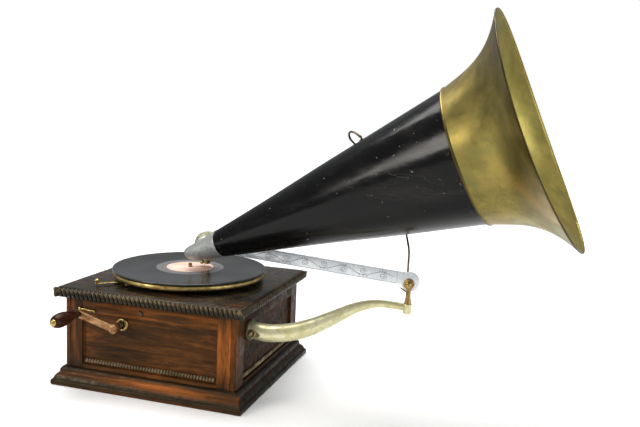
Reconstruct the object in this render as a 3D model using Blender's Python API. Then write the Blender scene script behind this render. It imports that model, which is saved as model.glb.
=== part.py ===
"""Wind-up phonograph with a front-mounted support arm, a travelling arm and a flared horn.

Sizes are millimetres until they reach a mesh, which is in metres.
Origin: middle of the case's underside, on the table. +X runs along the crank side towards the bell,
-Y is the crank side, +Z is up.
"""

from math import acos, atan2, cos, hypot, pi, radians, sin, sqrt

import bmesh
import bpy
from mathutils import Matrix, Vector

MM = 0.001
MERGE = 0.002                               # points closer than this are one point
GAP = 0.3                                   # clearance kept between neighbouring solids

# Case
BODY_X = 291.0
BODY_Y = 277.0
PLINTH_OVERHANG = 17.0
PLINTH_HEIGHT = 29.0
TOP_OVERHANG = 13.8
CASE_TOP = 158.0
TOP_THICK = 16.6
TOP_UNDER = CASE_TOP - TOP_THICK
ROPE_WIDTH = 8.0
BOTTOM_THICK = 10.0
POST = 30.0
RAIL_LOW = 119.0                            # underside of the top rails
LEDGE = 35.0                                # top of the bottom rails
RECESS = 4.0                                # panels stand this far behind the rails
PANEL_THICK = 8.0

# Turntable
RECORD_R = 127.0
RECORD_TOP = 177.0
RECORD_THICK = 2.4
LABEL_R = 39.0
PLATTER_R = 126.0
PLATTER_TOP = 173.0
PLATTER_LOW = 165.0
RIM_WALL = 4.5
WEB_THICK = 3.0
MAT_THICK = 1.0
PIN_R = 3.2
PIN_TOP = 184.0
SPINDLE_R = 3.0

# Motor
BED_LOW = 137.0
FRAME_LOW = 50.0
FRAME_THICK = 4.0
FRAME_TOP = FRAME_LOW + FRAME_THICK
MODULE = 2.0
WHEEL_TEETH = 24                            # intermediate wheel
GREAT_TEETH = 36                            # wheel on the spring barrel
PINION_TEETH = 6
ARBOR = (-46.5, 20.0)
BARREL_R = 32.0
BARREL_LOW = 62.0
BARREL_HIGH = 92.0
GEAR_FACE = 4.0
UPPER_GEAR_Z = 110.0
WORM_WHEEL_R = 17.0
WORM_R = 4.5
GOVERNOR_Z = 86.0
GOVERNOR_X = WORM_WHEEL_R + WORM_R + 0.4
GOVERNOR_R = 1.6                            # pivots of the governor's shaft
CROWN_R = 18.0
CROWN_Z = 95.0
GREAT_R = MODULE * GREAT_TEETH / 2
WHEEL_R = MODULE * WHEEL_TEETH / 2
PINION_R = MODULE * PINION_TEETH / 2
ARBOR_R = 3.0
INTERMEDIATE_R = 2.5
BED_LEFT = -90.0
BED_RIGHT = 62.0
BED_HALF = 66.0
POSTS = ((-80.0, -58.0), (52.0, -58.0), (-80.0, 57.0), (52.0, 57.0))
POST_R = 4.0
LUG_Y = (-34.0, -30.0)                      # the bedplate's lug, which carries the winding shaft
THROUGH = 20.0                              # length of a drill that goes right through a plate
SPEED_X = -12.9                             # the speed screw, on the front
SPEED_Z = 129.0
REGULATOR_X = 2.0
REGULATOR_Y = -55.5
SPRING_TURNS = 4
SPRING_STEPS = 14                           # points to one turn of the mainspring
SPRING_STRIP = 0.8

# Crank
CRANK_X = ARBOR[0]
CRANK_Z = 107.0
SHAFT_R = 4.0
CRANK_THROW = 65.0
CRANK_LEAN = 164.8                          # direction of the arm at rest, degrees from +X
ARM_FACE = -158.0                           # side of the crank arm nearest the case
ARM_PLATE = 5.0
HANDLE_END = -219.0
HANDLE_PIN_R = 2.6
RATCHET_TEETH = 12
RATCHET_R = 11.0
CLICK_R = 1.8
PAWL_PIVOT = (CRANK_X + 17.0, CRANK_Z + 12.0)
PAWL_NOSE = (CRANK_X + 8.0, CRANK_Z + 11.8)

# Brake and latch
BRAKE_HEADING = radians(229.0)
BRAKE_REACH = 108.0
BRAKE_PIVOT = (BRAKE_REACH * cos(BRAKE_HEADING), BRAKE_REACH * sin(BRAKE_HEADING))
BRAKE_KNOB = (-103.0, -118.0)
BRAKE_LOW = 160.5
BRAKE_THICK = 2.2
BRAKE_SCREW_R = 2.0
KNOB_R = 1.6
PAD_HEADING = BRAKE_HEADING + radians(11.6)
PAD_DEPTH = 5.0
LATCH_PIVOT = (-119.0, 124.6)
LATCH_END = (-93.0, 123.6)

# Support arm and travelling arm
PIVOT = (375.5, -23.0)
ARM_TURN = -3.94                            # travelling arm's heading at rest, degrees
FLANGE = (146.0, -89.0, 111.0)
FLANGE_R = 16.5
BOLT = (-101.5, 108.5)                      # y and z of the screw in the arm's root
BOLT_R = 2.2
BOLT_SEAT = 5.4                             # the screw head's seat stands this far out
SOCKET_LOW = 147.0
SOCKET_HIGH = 163.0
EYE_Z = 193.2
STEM_R = 3.6
STEM_TOP = 180.5
BAR_FRONT = 4.0
BAR_THICK = 3.0
BAR_WIDTH = 20.0
BAR_RISE = 0.0479
TAB_R = 15.0
TAB_Z = 196.5
EYE_R = 8.0
EYE_FRONT = -2.5
EYE_BACK = BAR_FRONT - 0.4
TILT_PIN_R = 2.5
PEG_ROOT = (-1.5, -1.0, 181.0)
BAR_MID_Z = 199.5                           # centre line of the bar above the pivot
SOUNDBOX = (-352.5, 212.0)                  # x and z in the travelling arm's frame
SOUNDBOX_R = 25.5
NECK_R = 13.0
RING_R = NECK_R + 4.6
NEEDLE_TIP = (-359.9, 14.4, 177.4)

# Horn, along its own axis
HORN_START = Vector((-315.0, -20.7, 224.4))
HORN_RISE = 23.17
CONE_LENGTH = 428.0
CONE_R0 = 21.2
CONE_R1 = 100.7
BELL_LENGTH = 104.6
BELL_R = 174.7
BELL_SLOPE = 0.30
BELL_POWER = 3.6
SHEET = 0.6
LAP = 8.0
WIRE_R = 1.6
WIRE_FOOT = (-5.3, BAR_FRONT + BAR_THICK + 4.0)
WIRE_FOOT_Z = (201.0, 222.0, 240.0)
WIRE_BOW = (                                # place along the horn, height over it, degrees round it
    (293.0, 24.0, 21.0), (290.0, 15.0, 38.0), (284.0, 8.5, 68.0), (279.0, 7.0, 100.0),
    (274.0, 7.0, 132.0), (270.5, 9.5, 158.0), (270.5, 14.5, 173.0), (276.0, 15.0, 182.0),
    (284.0, 9.0, 186.0), (290.5, 5.2, 187.0))

ROUND = 24                                  # steps round a turned piece
FLAT = Matrix(((1, 0, 0, 0), (0, 0, 1, 0), (0, 1, 0, 0), (0, 0, 0, 1)))    # (x, y) drawn as (x, z)
FRAME_POINTS = {}                           # where each joint's empty stands, by name


def clear_scene():
    """Remove every object that the file opened with."""
    for old in list(bpy.data.objects):
        bpy.data.objects.remove(old, do_unlink=True)


def finish(name, colour, roughness, metallic):
    """Make one plain Principled material."""
    material = bpy.data.materials.new(name)
    material.use_nodes = True
    shader = material.node_tree.nodes["Principled BSDF"]
    shader.inputs["Base Color"].default_value = (*colour, 1.0)
    shader.inputs["Roughness"].default_value = roughness
    shader.inputs["Metallic"].default_value = metallic
    return material


def make_finishes():
    """All the finishes, by name."""
    return {
        "walnut": finish("walnut", (0.10, 0.035, 0.012), 0.45, 0.0),
        "ebonised": finish("ebonised", (0.03, 0.018, 0.010), 0.4, 0.0),
        "handle_wood": finish("handle_wood", (0.07, 0.02, 0.008), 0.35, 0.0),
        "cast_iron": finish("cast_iron", (0.05, 0.05, 0.055), 0.55, 0.6),
        "steel": finish("steel", (0.45, 0.45, 0.46), 0.35, 1.0),
        "spring_steel": finish("spring_steel", (0.18, 0.20, 0.26), 0.3, 1.0),
        "aged_brass": finish("aged_brass", (0.42, 0.32, 0.09), 0.35, 1.0),
        "brown_brass": finish("brown_brass", (0.35, 0.18, 0.06), 0.4, 1.0),
        "worn_nickel": finish("worn_nickel", (0.62, 0.58, 0.38), 0.3, 1.0),
        "nickel": finish("nickel", (0.80, 0.81, 0.82), 0.2, 1.0),
        "pot_metal": finish("pot_metal", (0.40, 0.42, 0.41), 0.5, 0.8),
        "horn_black": finish("horn_black", (0.006, 0.006, 0.007), 0.25, 0.0),
        "shellac": finish("shellac", (0.03, 0.03, 0.03), 0.35, 0.0),
        "label_paper": finish("label_paper", (0.78, 0.52, 0.44), 0.8, 0.0),
        "felt": finish("felt", (0.05, 0.08, 0.04), 0.95, 0.0),
        "mica": finish("mica", (0.55, 0.50, 0.38), 0.2, 0.0),
        "leather": finish("leather", (0.12, 0.06, 0.03), 0.8, 0.0),
    }


def new_object(name, bm, material, smooth=True):
    """Turn a millimetre bmesh into an object in metres."""
    bmesh.ops.remove_doubles(bm, verts=bm.verts, dist=MERGE)
    bmesh.ops.dissolve_degenerate(bm, edges=bm.edges, dist=MERGE)
    bmesh.ops.recalc_face_normals(bm, faces=bm.faces)
    bmesh.ops.scale(bm, vec=(MM, MM, MM), verts=bm.verts)
    mesh = bpy.data.meshes.new(name)
    bm.to_mesh(mesh)
    bm.free()
    if smooth:
        mesh.shade_smooth()
        mesh.set_sharp_from_angle(angle=radians(35))
    obj = bpy.data.objects.new(name, mesh)
    obj.data.materials.append(material)
    bpy.context.collection.objects.link(obj)
    return obj


def seat(obj, point, parent=None):
    """Move an object's origin to a point of its own frame, in mm, without moving its shape."""
    place = Vector(point) * MM
    obj.data.transform(Matrix.Translation(-place))
    obj.location = place
    if parent is not None:
        obj.parent = parent
        obj.location = place - FRAME_POINTS[parent.name] * MM
        for modifier in obj.modifiers:
            modifier.object.parent = parent
            modifier.object.location = -FRAME_POINTS[parent.name] * MM
    return obj


def axis_empty(name, point, turn=0.0, parent=None):
    """An empty that stands on a joint's axis. Its point is in the frame of its parent's frame."""
    empty = bpy.data.objects.new(name, None)
    empty.empty_display_size = 20 * MM
    bpy.context.collection.objects.link(empty)
    empty.location = Vector(point) * MM
    empty.rotation_euler = (0.0, 0.0, radians(turn))
    FRAME_POINTS[name] = Vector(point) if parent is not None else Vector((0.0, 0.0, 0.0))
    if parent is not None:
        empty.parent = parent
    return empty


def block(name, low, high, material, bevel=0.0):
    """A box between two corners, with its edges eased by a bevel."""
    bm = bmesh.new()
    size = [high[i] - low[i] for i in range(3)]
    middle = [(high[i] + low[i]) / 2 for i in range(3)]
    matrix = Matrix.Translation(middle) @ Matrix.Diagonal((*size, 1.0))
    bmesh.ops.create_cube(bm, size=1.0, matrix=matrix)
    if bevel:
        bmesh.ops.bevel(bm, geom=bm.edges[:], offset=bevel, segments=1, profile=0.5,
                        affect="EDGES")
    return new_object(name, bm, material, smooth=False)


def spun(bm, profile, segments=ROUND):
    """Spin a closed outline of (radius, height) points about Z."""
    verts = [bm.verts.new((r, 0.0, z)) for r, z in profile]
    edges = []
    for first, second in zip(verts, verts[1:] + verts[:1]):
        if first.co.x > 0.0 or second.co.x > 0.0:
            edges.append(bm.edges.new((first, second)))
    bmesh.ops.spin(bm, geom=verts + edges, cent=(0, 0, 0), axis=(0, 0, 1), angle=2 * pi,
                   steps=segments, use_merge=True)


def aim(point, direction):
    """A matrix that puts Z along a direction, at a point."""
    turn = Vector(direction).normalized().to_track_quat("Z", "Y")
    return Matrix.Translation(point) @ turn.to_matrix().to_4x4()


def turned(name, profile, material, matrix=None, segments=ROUND):
    """A turned piece from its closed outline of (radius, height) points."""
    bm = bmesh.new()
    spun(bm, profile, segments)
    if matrix is not None:
        bm.transform(matrix)
    return new_object(name, bm, material)


def rod_outline(radius, low, high):
    """Outline of a plain round bar that reaches its own axis."""
    return [(0.0, low), (radius, low), (radius, high), (0.0, high)]


def ring_outline(inner, outer, low, high):
    """Outline of a plain ring."""
    return [(inner, low), (outer, low), (outer, high), (inner, high)]


def ball_outline(radius, steps=6):
    """Outline of a ball centred on the origin."""
    middle = [(radius * sin(pi * i / steps), -radius * cos(pi * i / steps)) for i in range(1, steps)]
    return [(0.0, -radius)] + middle + [(0.0, radius)]


def plate(name, outline, low, high, material, matrix=None):
    """A flat plate: an outline in XY, extruded along Z between two heights."""
    bm = bmesh.new()
    verts = [bm.verts.new((x, y, low)) for x, y in outline]
    face = bm.faces.new(verts)
    result = bmesh.ops.extrude_face_region(bm, geom=[face])
    raised = [v for v in result["geom"] if isinstance(v, bmesh.types.BMVert)]
    bmesh.ops.translate(bm, vec=(0.0, 0.0, high - low), verts=raised)
    if matrix is not None:
        bm.transform(matrix)
    return new_object(name, bm, material)


def gear_outline(teeth, phase):
    """Outline of a wheel with short, straight-sided teeth; a tooth points along phase (radians)."""
    pitch_r = MODULE * teeth / 2
    tip_r = pitch_r + 0.8
    root_r = pitch_r - 1.3
    step = 2 * pi / teeth
    points = []
    for i in range(teeth):
        middle = phase + i * step
        for radius, side in ((root_r, -0.23), (tip_r, -0.11), (tip_r, 0.11), (root_r, 0.23)):
            angle = middle + side * step
            points.append((radius * cos(angle), radius * sin(angle)))
    return points


def capsule(start, end, width, steps=8):
    """Outline of a bar with round ends between two points."""
    heading = atan2(end[1] - start[1], end[0] - start[0])
    points = []
    for centre, first in ((end, heading - pi / 2), (start, heading + pi / 2)):
        for i in range(steps + 1):
            angle = first + pi * i / steps
            points.append((centre[0] + width / 2 * cos(angle), centre[1] + width / 2 * sin(angle)))
    return points


def tool(obj):
    """Mark an object as a guide that isn't part of the model."""
    obj.hide_render = True
    obj.display_type = "WIRE"
    return obj


def boolean(obj, other, operation):
    """Cut one object with another, or join them."""
    tool(other)
    modifier = obj.modifiers.new(other.name, "BOOLEAN")
    modifier.operation = operation
    modifier.object = other
    modifier.solver = "EXACT"


def cut(obj, other):
    """Take one shape out of another."""
    boolean(obj, other, "DIFFERENCE")


def join(obj, other):
    """Join one shape to another."""
    boolean(obj, other, "UNION")


def bore(obj, point, direction, radius, length, segments=14):
    """Drill a round hole, centred on a point."""
    material = obj.data.materials[0]
    cutter = turned(obj.name + "_bore", rod_outline(radius, -length / 2, length / 2), material,
                    aim(point, direction), segments)
    cut(obj, cutter)


def rect_frame(name, levels, material):
    """A mitred frame: rectangles given as (half x, half y, z), joined in a closed chain."""
    bm = bmesh.new()
    loops = []
    for half_x, half_y, z in levels:
        matrix = Matrix.Translation((0, 0, z)) @ Matrix.Diagonal((half_x, half_y, 1.0, 1.0))
        made = bmesh.ops.create_grid(bm, x_segments=1, y_segments=1, size=1.0, matrix=matrix)
        corners = made["verts"]
        faces = [f for f in bm.faces if set(f.verts) <= set(corners)]
        bmesh.ops.delete(bm, geom=faces, context="FACES_ONLY")
        loops.append([e for e in bm.edges if e.verts[0] in corners and e.verts[1] in corners])
    for i, edges in enumerate(loops):
        bmesh.ops.bridge_loops(bm, edges=edges + loops[(i + 1) % len(loops)])
    return new_object(name, bm, material, smooth=False)


def lofted_tube(name, stations, wall, material, segments=20):
    """A hollow tube through (centre, direction, radius) stations."""
    inside = [(centre, direction, radius - wall) for centre, direction, radius in reversed(stations)]
    chain = [aim(centre, direction) @ Matrix.Diagonal((radius, radius, radius, 1.0))
             for centre, direction, radius in stations + inside]
    bm = bmesh.new()
    bmesh.ops.create_circle(bm, segments=segments, radius=1.0, matrix=chain[0])
    ring = bm.edges[:]
    for here, there in zip(chain, chain[1:] + chain[:1]):
        grown = bmesh.ops.extrude_edge_only(bm, edges=ring)["geom"]
        verts = [v for v in grown if isinstance(v, bmesh.types.BMVert)]
        ring = [e for e in grown if isinstance(e, bmesh.types.BMEdge) and set(e.verts) <= set(verts)]
        bmesh.ops.transform(bm, matrix=there @ here.inverted(), verts=verts)
    return new_object(name, bm, material)


def smooth_route(points, per_span=6):
    """Points along a smooth curve that passes through the given ones."""
    padded = [points[0] * 2 - points[1]] + list(points) + [points[-1] * 2 - points[-2]]
    route = []
    for i in range(1, len(padded) - 2):
        p0, p1, p2, p3 = padded[i - 1:i + 3]
        for k in range(per_span):
            t = k / per_span
            route.append(0.5 * ((2 * p1) + (p2 - p0) * t + (2 * p0 - 5 * p1 + 4 * p2 - p3) * t * t
                                + (3 * p1 - p0 - 3 * p2 + p3) * t ** 3))
    route.append(padded[-2])
    return route


def swept(name, route, radii, material, resolution=2):
    """A round bar along a route, with a radius at each point and closed ends."""
    curve = bpy.data.curves.new(name, "CURVE")
    curve.dimensions = "3D"
    curve.bevel_depth = MM
    curve.bevel_resolution = resolution
    curve.use_fill_caps = True
    spline = curve.splines.new("POLY")
    spline.points.add(len(route) - 1)
    for point, place, radius in zip(spline.points, route, radii):
        point.co = (*(Vector(place) * MM), 1.0)
        point.radius = radius
    guide = bpy.data.objects.new(name, curve)
    bpy.context.collection.objects.link(guide)
    bpy.context.view_layer.update()
    solid = bpy.data.meshes.new_from_object(guide)
    bpy.data.objects.remove(guide, do_unlink=True)
    bm = bmesh.new()
    bm.from_mesh(solid)
    bmesh.ops.scale(bm, vec=(1 / MM, 1 / MM, 1 / MM), verts=bm.verts)
    return new_object(name, bm, material)


# ---------------------------------------------------------------- case

def build_case(f):
    """The wooden case: plinth, boards, corner posts and framed panels."""
    inner_x = BODY_X / 2 + GAP
    inner_y = BODY_Y / 2 + GAP
    over = PLINTH_OVERHANG
    steps = [(over, 0.0), (over, 12.0), (over - 2.5, 15.0), (over - 6.0, 16.5), (over - 9.0, 20.0),
             (over - 10.0, 24.0), (over - 12.5, 26.0), (3.0, PLINTH_HEIGHT)]
    levels = [(BODY_X / 2 + out, BODY_Y / 2 + out, z) for out, z in steps]
    levels += [(inner_x, inner_y, PLINTH_HEIGHT), (inner_x, inner_y, 0.0)]
    rect_frame("plinth_moulding", levels, f["walnut"])

    half_x = BODY_X / 2
    half_y = BODY_Y / 2
    block("bottom_board", (-half_x, -half_y, 0.0), (half_x, half_y, BOTTOM_THICK), f["walnut"])

    low = BOTTOM_THICK + GAP
    high = TOP_UNDER - GAP
    names = {(-1, -1): "post_front_left", (1, -1): "post_front_right",
             (-1, 1): "post_back_left", (1, 1): "post_back_right"}
    for (sx, sy), name in names.items():
        xs = sorted((sx * half_x, sx * (half_x - POST)))
        ys = sorted((sy * half_y, sy * (half_y - POST)))
        block(name, (xs[0], ys[0], low), (xs[1], ys[1], high), f["walnut"], bevel=0.8)

    depth = RECESS + PANEL_THICK
    outline = [(0.0, low), (depth, low), (depth, high), (0.0, high), (0.0, RAIL_LOW),
               (RECESS, RAIL_LOW), (RECESS, LEDGE), (0.0, LEDGE)]
    sides = (("front_panel", 0.0, half_x, half_y), ("right_panel", 90.0, half_y, half_x),
             ("back_panel", 180.0, half_x, half_y), ("left_panel", 270.0, half_y, half_x))
    panels = {}
    for name, turn, half_run, face in sides:
        run = half_run - POST - GAP
        # outline drawn as (depth from the face, height), run along the side
        matrix = (Matrix.Rotation(radians(turn), 4, "Z") @ Matrix.Translation((-run, -face, 0.0))
                  @ Matrix(((0, 0, 1, 0), (1, 0, 0, 0), (0, 1, 0, 0), (0, 0, 0, 1))))
        panels[name] = plate(name, outline, 0.0, 2 * run, f["walnut"], matrix)
    wall_mid = -BODY_Y / 2 + depth / 2
    bore(panels["front_panel"], (CRANK_X, wall_mid, CRANK_Z), (0, 1, 0), 6.3, 30.0)
    bore(panels["front_panel"], (SPEED_X, wall_mid, SPEED_Z), (0, 1, 0), 2.6, 30.0)
    pad = block("right_panel_pad", (half_x - depth + 1.0, FLANGE[1] - 19.2, FLANGE[2] - 20.0),
                (half_x, FLANGE[1] + 19.0, RAIL_LOW + 5.0), f["walnut"])
    join(panels["right_panel"], pad)

    rim_x = BODY_X / 2 + TOP_OVERHANG
    rim_y = BODY_Y / 2 + TOP_OVERHANG
    board = block("top_board", (-rim_x + ROPE_WIDTH, -rim_y + ROPE_WIDTH, TOP_UNDER),
                  (rim_x - ROPE_WIDTH, rim_y - ROPE_WIDTH, CASE_TOP), f["walnut"])
    bore(board, (0, 0, CASE_TOP), (0, 0, 1), SPINDLE_R + 1.5, 60.0)
    bore(board, (*BRAKE_PIVOT, CASE_TOP), (0, 0, 1), 2.3, 24.0)

    middle = CASE_TOP - TOP_THICK / 2
    radius = TOP_THICK / 2 - 0.3
    levels = []
    for i in range(9):
        angle = -pi / 2 + pi * i / 8
        out = (ROPE_WIDTH - GAP) * cos(angle)
        inner = ROPE_WIDTH - GAP
        levels.append((rim_x - inner + out, rim_y - inner + out, middle + radius * sin(angle)))
    rect_frame("rope_edge", levels, f["ebonised"])


# ---------------------------------------------------------------- motor

def intermediate_place():
    """Where the intermediate shaft stands: in mesh with the barrel and with the spindle."""
    reach = hypot(*ARBOR)
    to_spindle = WHEEL_R + PINION_R
    to_barrel = GREAT_R + PINION_R
    corner = acos((to_spindle ** 2 + reach ** 2 - to_barrel ** 2) / (2 * to_spindle * reach))
    heading = atan2(ARBOR[1], ARBOR[0]) - corner
    return to_spindle * cos(heading), to_spindle * sin(heading)


INTERMEDIATE = intermediate_place()


def build_motor_frame(f):
    """The motor's bedplate and the cast frame that hangs below it."""
    bed = block("motor_bedplate", (BED_LEFT, -BED_HALF, BED_LOW), (BED_RIGHT, BED_HALF, TOP_UNDER - GAP),
                f["cast_iron"])
    lug = block("bed_lug", (CRANK_X - 18.0, LUG_Y[0], CRANK_Z - 9.0),
                (CRANK_X + 24.0, LUG_Y[1], BED_LOW + 1.0), f["cast_iron"])
    join(bed, lug)
    bore(bed, (0, 0, BED_LOW), (0, 0, 1), SPINDLE_R + GAP, THROUGH)
    bore(bed, (*ARBOR, BED_LOW), (0, 0, 1), ARBOR_R + GAP, THROUGH)
    bore(bed, (*INTERMEDIATE, BED_LOW), (0, 0, 1), INTERMEDIATE_R + GAP, THROUGH)
    bore(bed, (CRANK_X, LUG_Y[0], CRANK_Z), (0, 1, 0), SHAFT_R + GAP, THROUGH)
    bore(bed, (PAWL_PIVOT[0], LUG_Y[0], PAWL_PIVOT[1]), (0, 1, 0), CLICK_R + GAP, THROUGH)

    frame = block("motor_frame", (BED_LEFT, -BED_HALF, FRAME_LOW), (BED_RIGHT, BED_HALF, FRAME_TOP),
                  f["cast_iron"])
    for i, (x, y) in enumerate(POSTS):
        post = turned(f"frame_post_{i}", rod_outline(POST_R, FRAME_TOP - 1.0, BED_LOW - GAP), f["cast_iron"],
                      Matrix.Translation((x, y, 0.0)), 16)
        join(frame, post)
    for i, (low, high) in enumerate(((22.0, 26.0), (-62.0, -58.0))):
        lug = block(f"governor_lug_{i}", (GOVERNOR_X - 5.0, low, FRAME_TOP - 1.0),
                    (GOVERNOR_X + 5.0, high, GOVERNOR_Z + 7.0), f["cast_iron"])
        join(frame, lug)
    bore(frame, (GOVERNOR_X, -20.0, GOVERNOR_Z), (0, 1, 0), GOVERNOR_R + GAP, 100.0, 12)
    for (x, y), radius in (((0.0, 0.0), SPINDLE_R), (ARBOR, ARBOR_R), (INTERMEDIATE, INTERMEDIATE_R),
                           ((REGULATOR_X, REGULATOR_Y), 2.0)):
        bore(frame, (x, y, FRAME_LOW), (0, 0, 1), radius + GAP, THROUGH, 16)


def build_spring_train(f):
    """Barrel with its spring and cover, the arbor, and the intermediate shaft and wheel."""
    to_pinion = atan2(INTERMEDIATE[1] - ARBOR[1], INTERMEDIATE[0] - ARBOR[0])
    place = Matrix.Translation((*ARBOR, 0.0))
    wall = 2.0
    floor = BARREL_LOW + GEAR_FACE
    outline = [(6.0, BARREL_LOW), (BARREL_R, BARREL_LOW), (BARREL_R, BARREL_HIGH),
               (BARREL_R - wall, BARREL_HIGH), (BARREL_R - wall, floor), (6.0, floor)]
    barrel = turned("spring_barrel", outline, f["cast_iron"], place)
    great = plate("great_wheel", gear_outline(GREAT_TEETH, to_pinion), BARREL_LOW - 0.5,
                  BARREL_LOW + GEAR_FACE - 0.5, f["cast_iron"], place)
    bore(great, (*ARBOR, BARREL_LOW), (0, 0, 1), 6.5, THROUGH)
    join(barrel, great)
    seat(barrel, (*ARBOR, 0.0))

    cover = turned("barrel_cover", ring_outline(6.0, BARREL_R, BARREL_HIGH + GAP, BARREL_HIGH + 2.0),
                   f["cast_iron"], place)
    seat(cover, (*ARBOR, 0.0))

    steps = SPRING_TURNS * SPRING_STEPS
    sides = []
    for offset in (0.0, SPRING_STRIP):
        edge = []
        for i in range(steps + 1):
            angle = 2 * pi * i / SPRING_STEPS
            radius = 8.0 + (BARREL_R - wall - 11.0) * i / steps + offset
            edge.append((radius * cos(angle), radius * sin(angle)))
        sides.append(edge)
    spring = plate("mainspring", sides[0] + sides[1][::-1], BARREL_LOW + GEAR_FACE + 1.0,
                   BARREL_HIGH - 1.0, f["spring_steel"], place)
    seat(spring, (*ARBOR, 0.0))

    top = BED_LOW + 3.0
    outline = [(0.0, FRAME_LOW), (ARBOR_R, FRAME_LOW), (ARBOR_R, FRAME_TOP + GAP), (5.2, FRAME_TOP + GAP),
               (5.2, CROWN_Z - 0.5), (ARBOR_R, CROWN_Z - 0.5), (ARBOR_R, top), (0.0, top)]
    arbor = turned("barrel_arbor", outline, f["steel"], place, 24)
    seat(arbor, (*ARBOR, 0.0))
    crown = plate("crown_gear", gear_outline(int(2 * CROWN_R / MODULE), 0.0), CROWN_Z, CROWN_Z + GEAR_FACE,
                  f["cast_iron"], place)
    bore(crown, (*ARBOR, CROWN_Z), (0, 0, 1), ARBOR_R + GAP, THROUGH)
    seat(crown, (*ARBOR, 0.0))

    middle = Matrix.Translation((*INTERMEDIATE, 0.0))
    shaft = turned("intermediate_shaft", rod_outline(INTERMEDIATE_R, FRAME_LOW, top), f["steel"], middle, 20)
    phase = to_pinion + pi + pi / PINION_TEETH
    pinion = plate("intermediate_pinion", gear_outline(PINION_TEETH, phase), BARREL_LOW - 0.5,
                   BARREL_LOW + GEAR_FACE, f["steel"], middle)
    join(shaft, pinion)
    seat(shaft, (*INTERMEDIATE, 0.0))
    to_spindle = atan2(-INTERMEDIATE[1], -INTERMEDIATE[0])
    wheel = plate("intermediate_wheel", gear_outline(WHEEL_TEETH, to_spindle), UPPER_GEAR_Z,
                  UPPER_GEAR_Z + GEAR_FACE, f["aged_brass"], middle)
    bore(wheel, (*INTERMEDIATE, UPPER_GEAR_Z), (0, 0, 1), INTERMEDIATE_R + GAP, THROUGH)
    seat(wheel, (*INTERMEDIATE, 0.0))
    return to_spindle


def build_spindle(f, to_spindle):
    """The turntable's spindle, with its pinion, and the wheel that drives the governor."""
    outline = [(0.0, FRAME_LOW), (SPINDLE_R, FRAME_LOW), (SPINDLE_R, CASE_TOP + 1.0), (8.0, CASE_TOP + 3.0),
               (8.0, PLATTER_LOW - 2.3), (PIN_R, PLATTER_LOW - 2.3), (PIN_R, PIN_TOP - 2.0),
               (PIN_R - 1.0, PIN_TOP - 0.5), (0.0, PIN_TOP)]
    spindle = turned("turntable_spindle", outline, f["nickel"], None, 16)
    phase = to_spindle + pi + pi / PINION_TEETH
    pinion = plate("spindle_pinion", gear_outline(PINION_TEETH, phase), UPPER_GEAR_Z,
                   UPPER_GEAR_Z + GEAR_FACE, f["steel"])
    join(spindle, pinion)
    outline = ring_outline(SPINDLE_R + GAP, WORM_WHEEL_R, GOVERNOR_Z - 2.0, GOVERNOR_Z + 2.0)
    turned("worm_wheel", outline, f["aged_brass"])


def build_governor(f):
    """The governor: a shaft with its worm, a friction disc, and three weights on leaf springs."""
    along = aim((GOVERNOR_X, 0.0, GOVERNOR_Z), (0, 1, 0))
    outline = [(0.0, -61.5), (GOVERNOR_R, -61.5), (GOVERNOR_R, -57.7), (2.4, -57.7), (2.4, -12.0),
               (WORM_R, -10.0), (WORM_R, 10.0), (2.4, 12.0), (2.4, 21.7), (GOVERNOR_R, 21.7),
               (GOVERNOR_R, 25.5), (0.0, 25.5)]
    shaft = turned("governor_shaft", outline, f["steel"], along, 20)
    seat(shaft, (GOVERNOR_X, 0.0, GOVERNOR_Z))
    disc = turned("governor_disc", [(2.7, -50.0), (14.0, -50.0), (14.0, -48.0), (5.0, -48.0), (5.0, -45.0),
                                    (2.7, -45.0)], f["aged_brass"], along, 32)
    seat(disc, (GOVERNOR_X, 0.0, GOVERNOR_Z))

    collar = turned("governor_weights", ring_outline(2.7, 5.0, -17.0, -14.0), f["aged_brass"], along, 20)
    other = turned("governor_collar", ring_outline(2.7, 5.0, -44.7, -41.7), f["aged_brass"], along, 20)
    join(collar, other)
    for i in range(3):
        turn = along @ Matrix.Rotation(2 * pi * i / 3, 4, "Z")
        route = [Vector((4.0 + 9.0 * sin(pi * k / 8), 0.0, -15.0 - 28.2 * k / 8)) for k in range(9)]
        bent = swept(f"governor_spring_{i}", [turn @ p for p in route], [0.9] * len(route),
                     f["spring_steel"], 1)
        join(collar, bent)
        weight = turned(f"governor_ball_{i}", ball_outline(5.2), f["aged_brass"],
                        turn @ Matrix.Translation((14.5, 0.0, -29.1)), 16)
        join(collar, weight)
    seat(collar, (GOVERNOR_X, 0.0, GOVERNOR_Z))


def build_regulator(f):
    """The lever that brakes the governor's disc, and the screw on the front that sets it."""
    low = REGULATOR_Y - 1.0
    high = REGULATOR_Y + 1.0
    left, right = -17.0, 18.0
    lever = block("regulator_lever", (left, low, GOVERNOR_Z - 3.0), (right, high, GOVERNOR_Z + 3.0), f["steel"])
    tab = block("regulator_tab", (left, low, GOVERNOR_Z + 1.0), (left + 8.0, high, SPEED_Z + 4.0), f["steel"])
    pad = block("regulator_pad", (right - 7.0, high - 0.5, GOVERNOR_Z - 4.0), (right, -50.5, GOVERNOR_Z + 4.0),
                f["steel"])
    post = turned("regulator_post", rod_outline(2.0, FRAME_LOW, GOVERNOR_Z + 5.0), f["steel"],
                  Matrix.Translation((REGULATOR_X, REGULATOR_Y, 0.0)), 16)
    for piece in (tab, pad, post):
        join(lever, piece)
    seat(lever, (REGULATOR_X, REGULATOR_Y, 0.0))

    face = -BODY_Y / 2
    outline = [(0.0, face - 3.2), (3.0, face - 3.2), (4.2, face - 2.2), (4.2, face - GAP), (2.0, face - GAP),
               (2.0, low - GAP), (0.0, low - GAP)]
    screw = turned("speed_screw", outline, f["brown_brass"], aim((SPEED_X, 0.0, SPEED_Z), (0, 1, 0)), 24)
    seat(screw, (SPEED_X, 0.0, SPEED_Z))


# ---------------------------------------------------------------- winding

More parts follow.
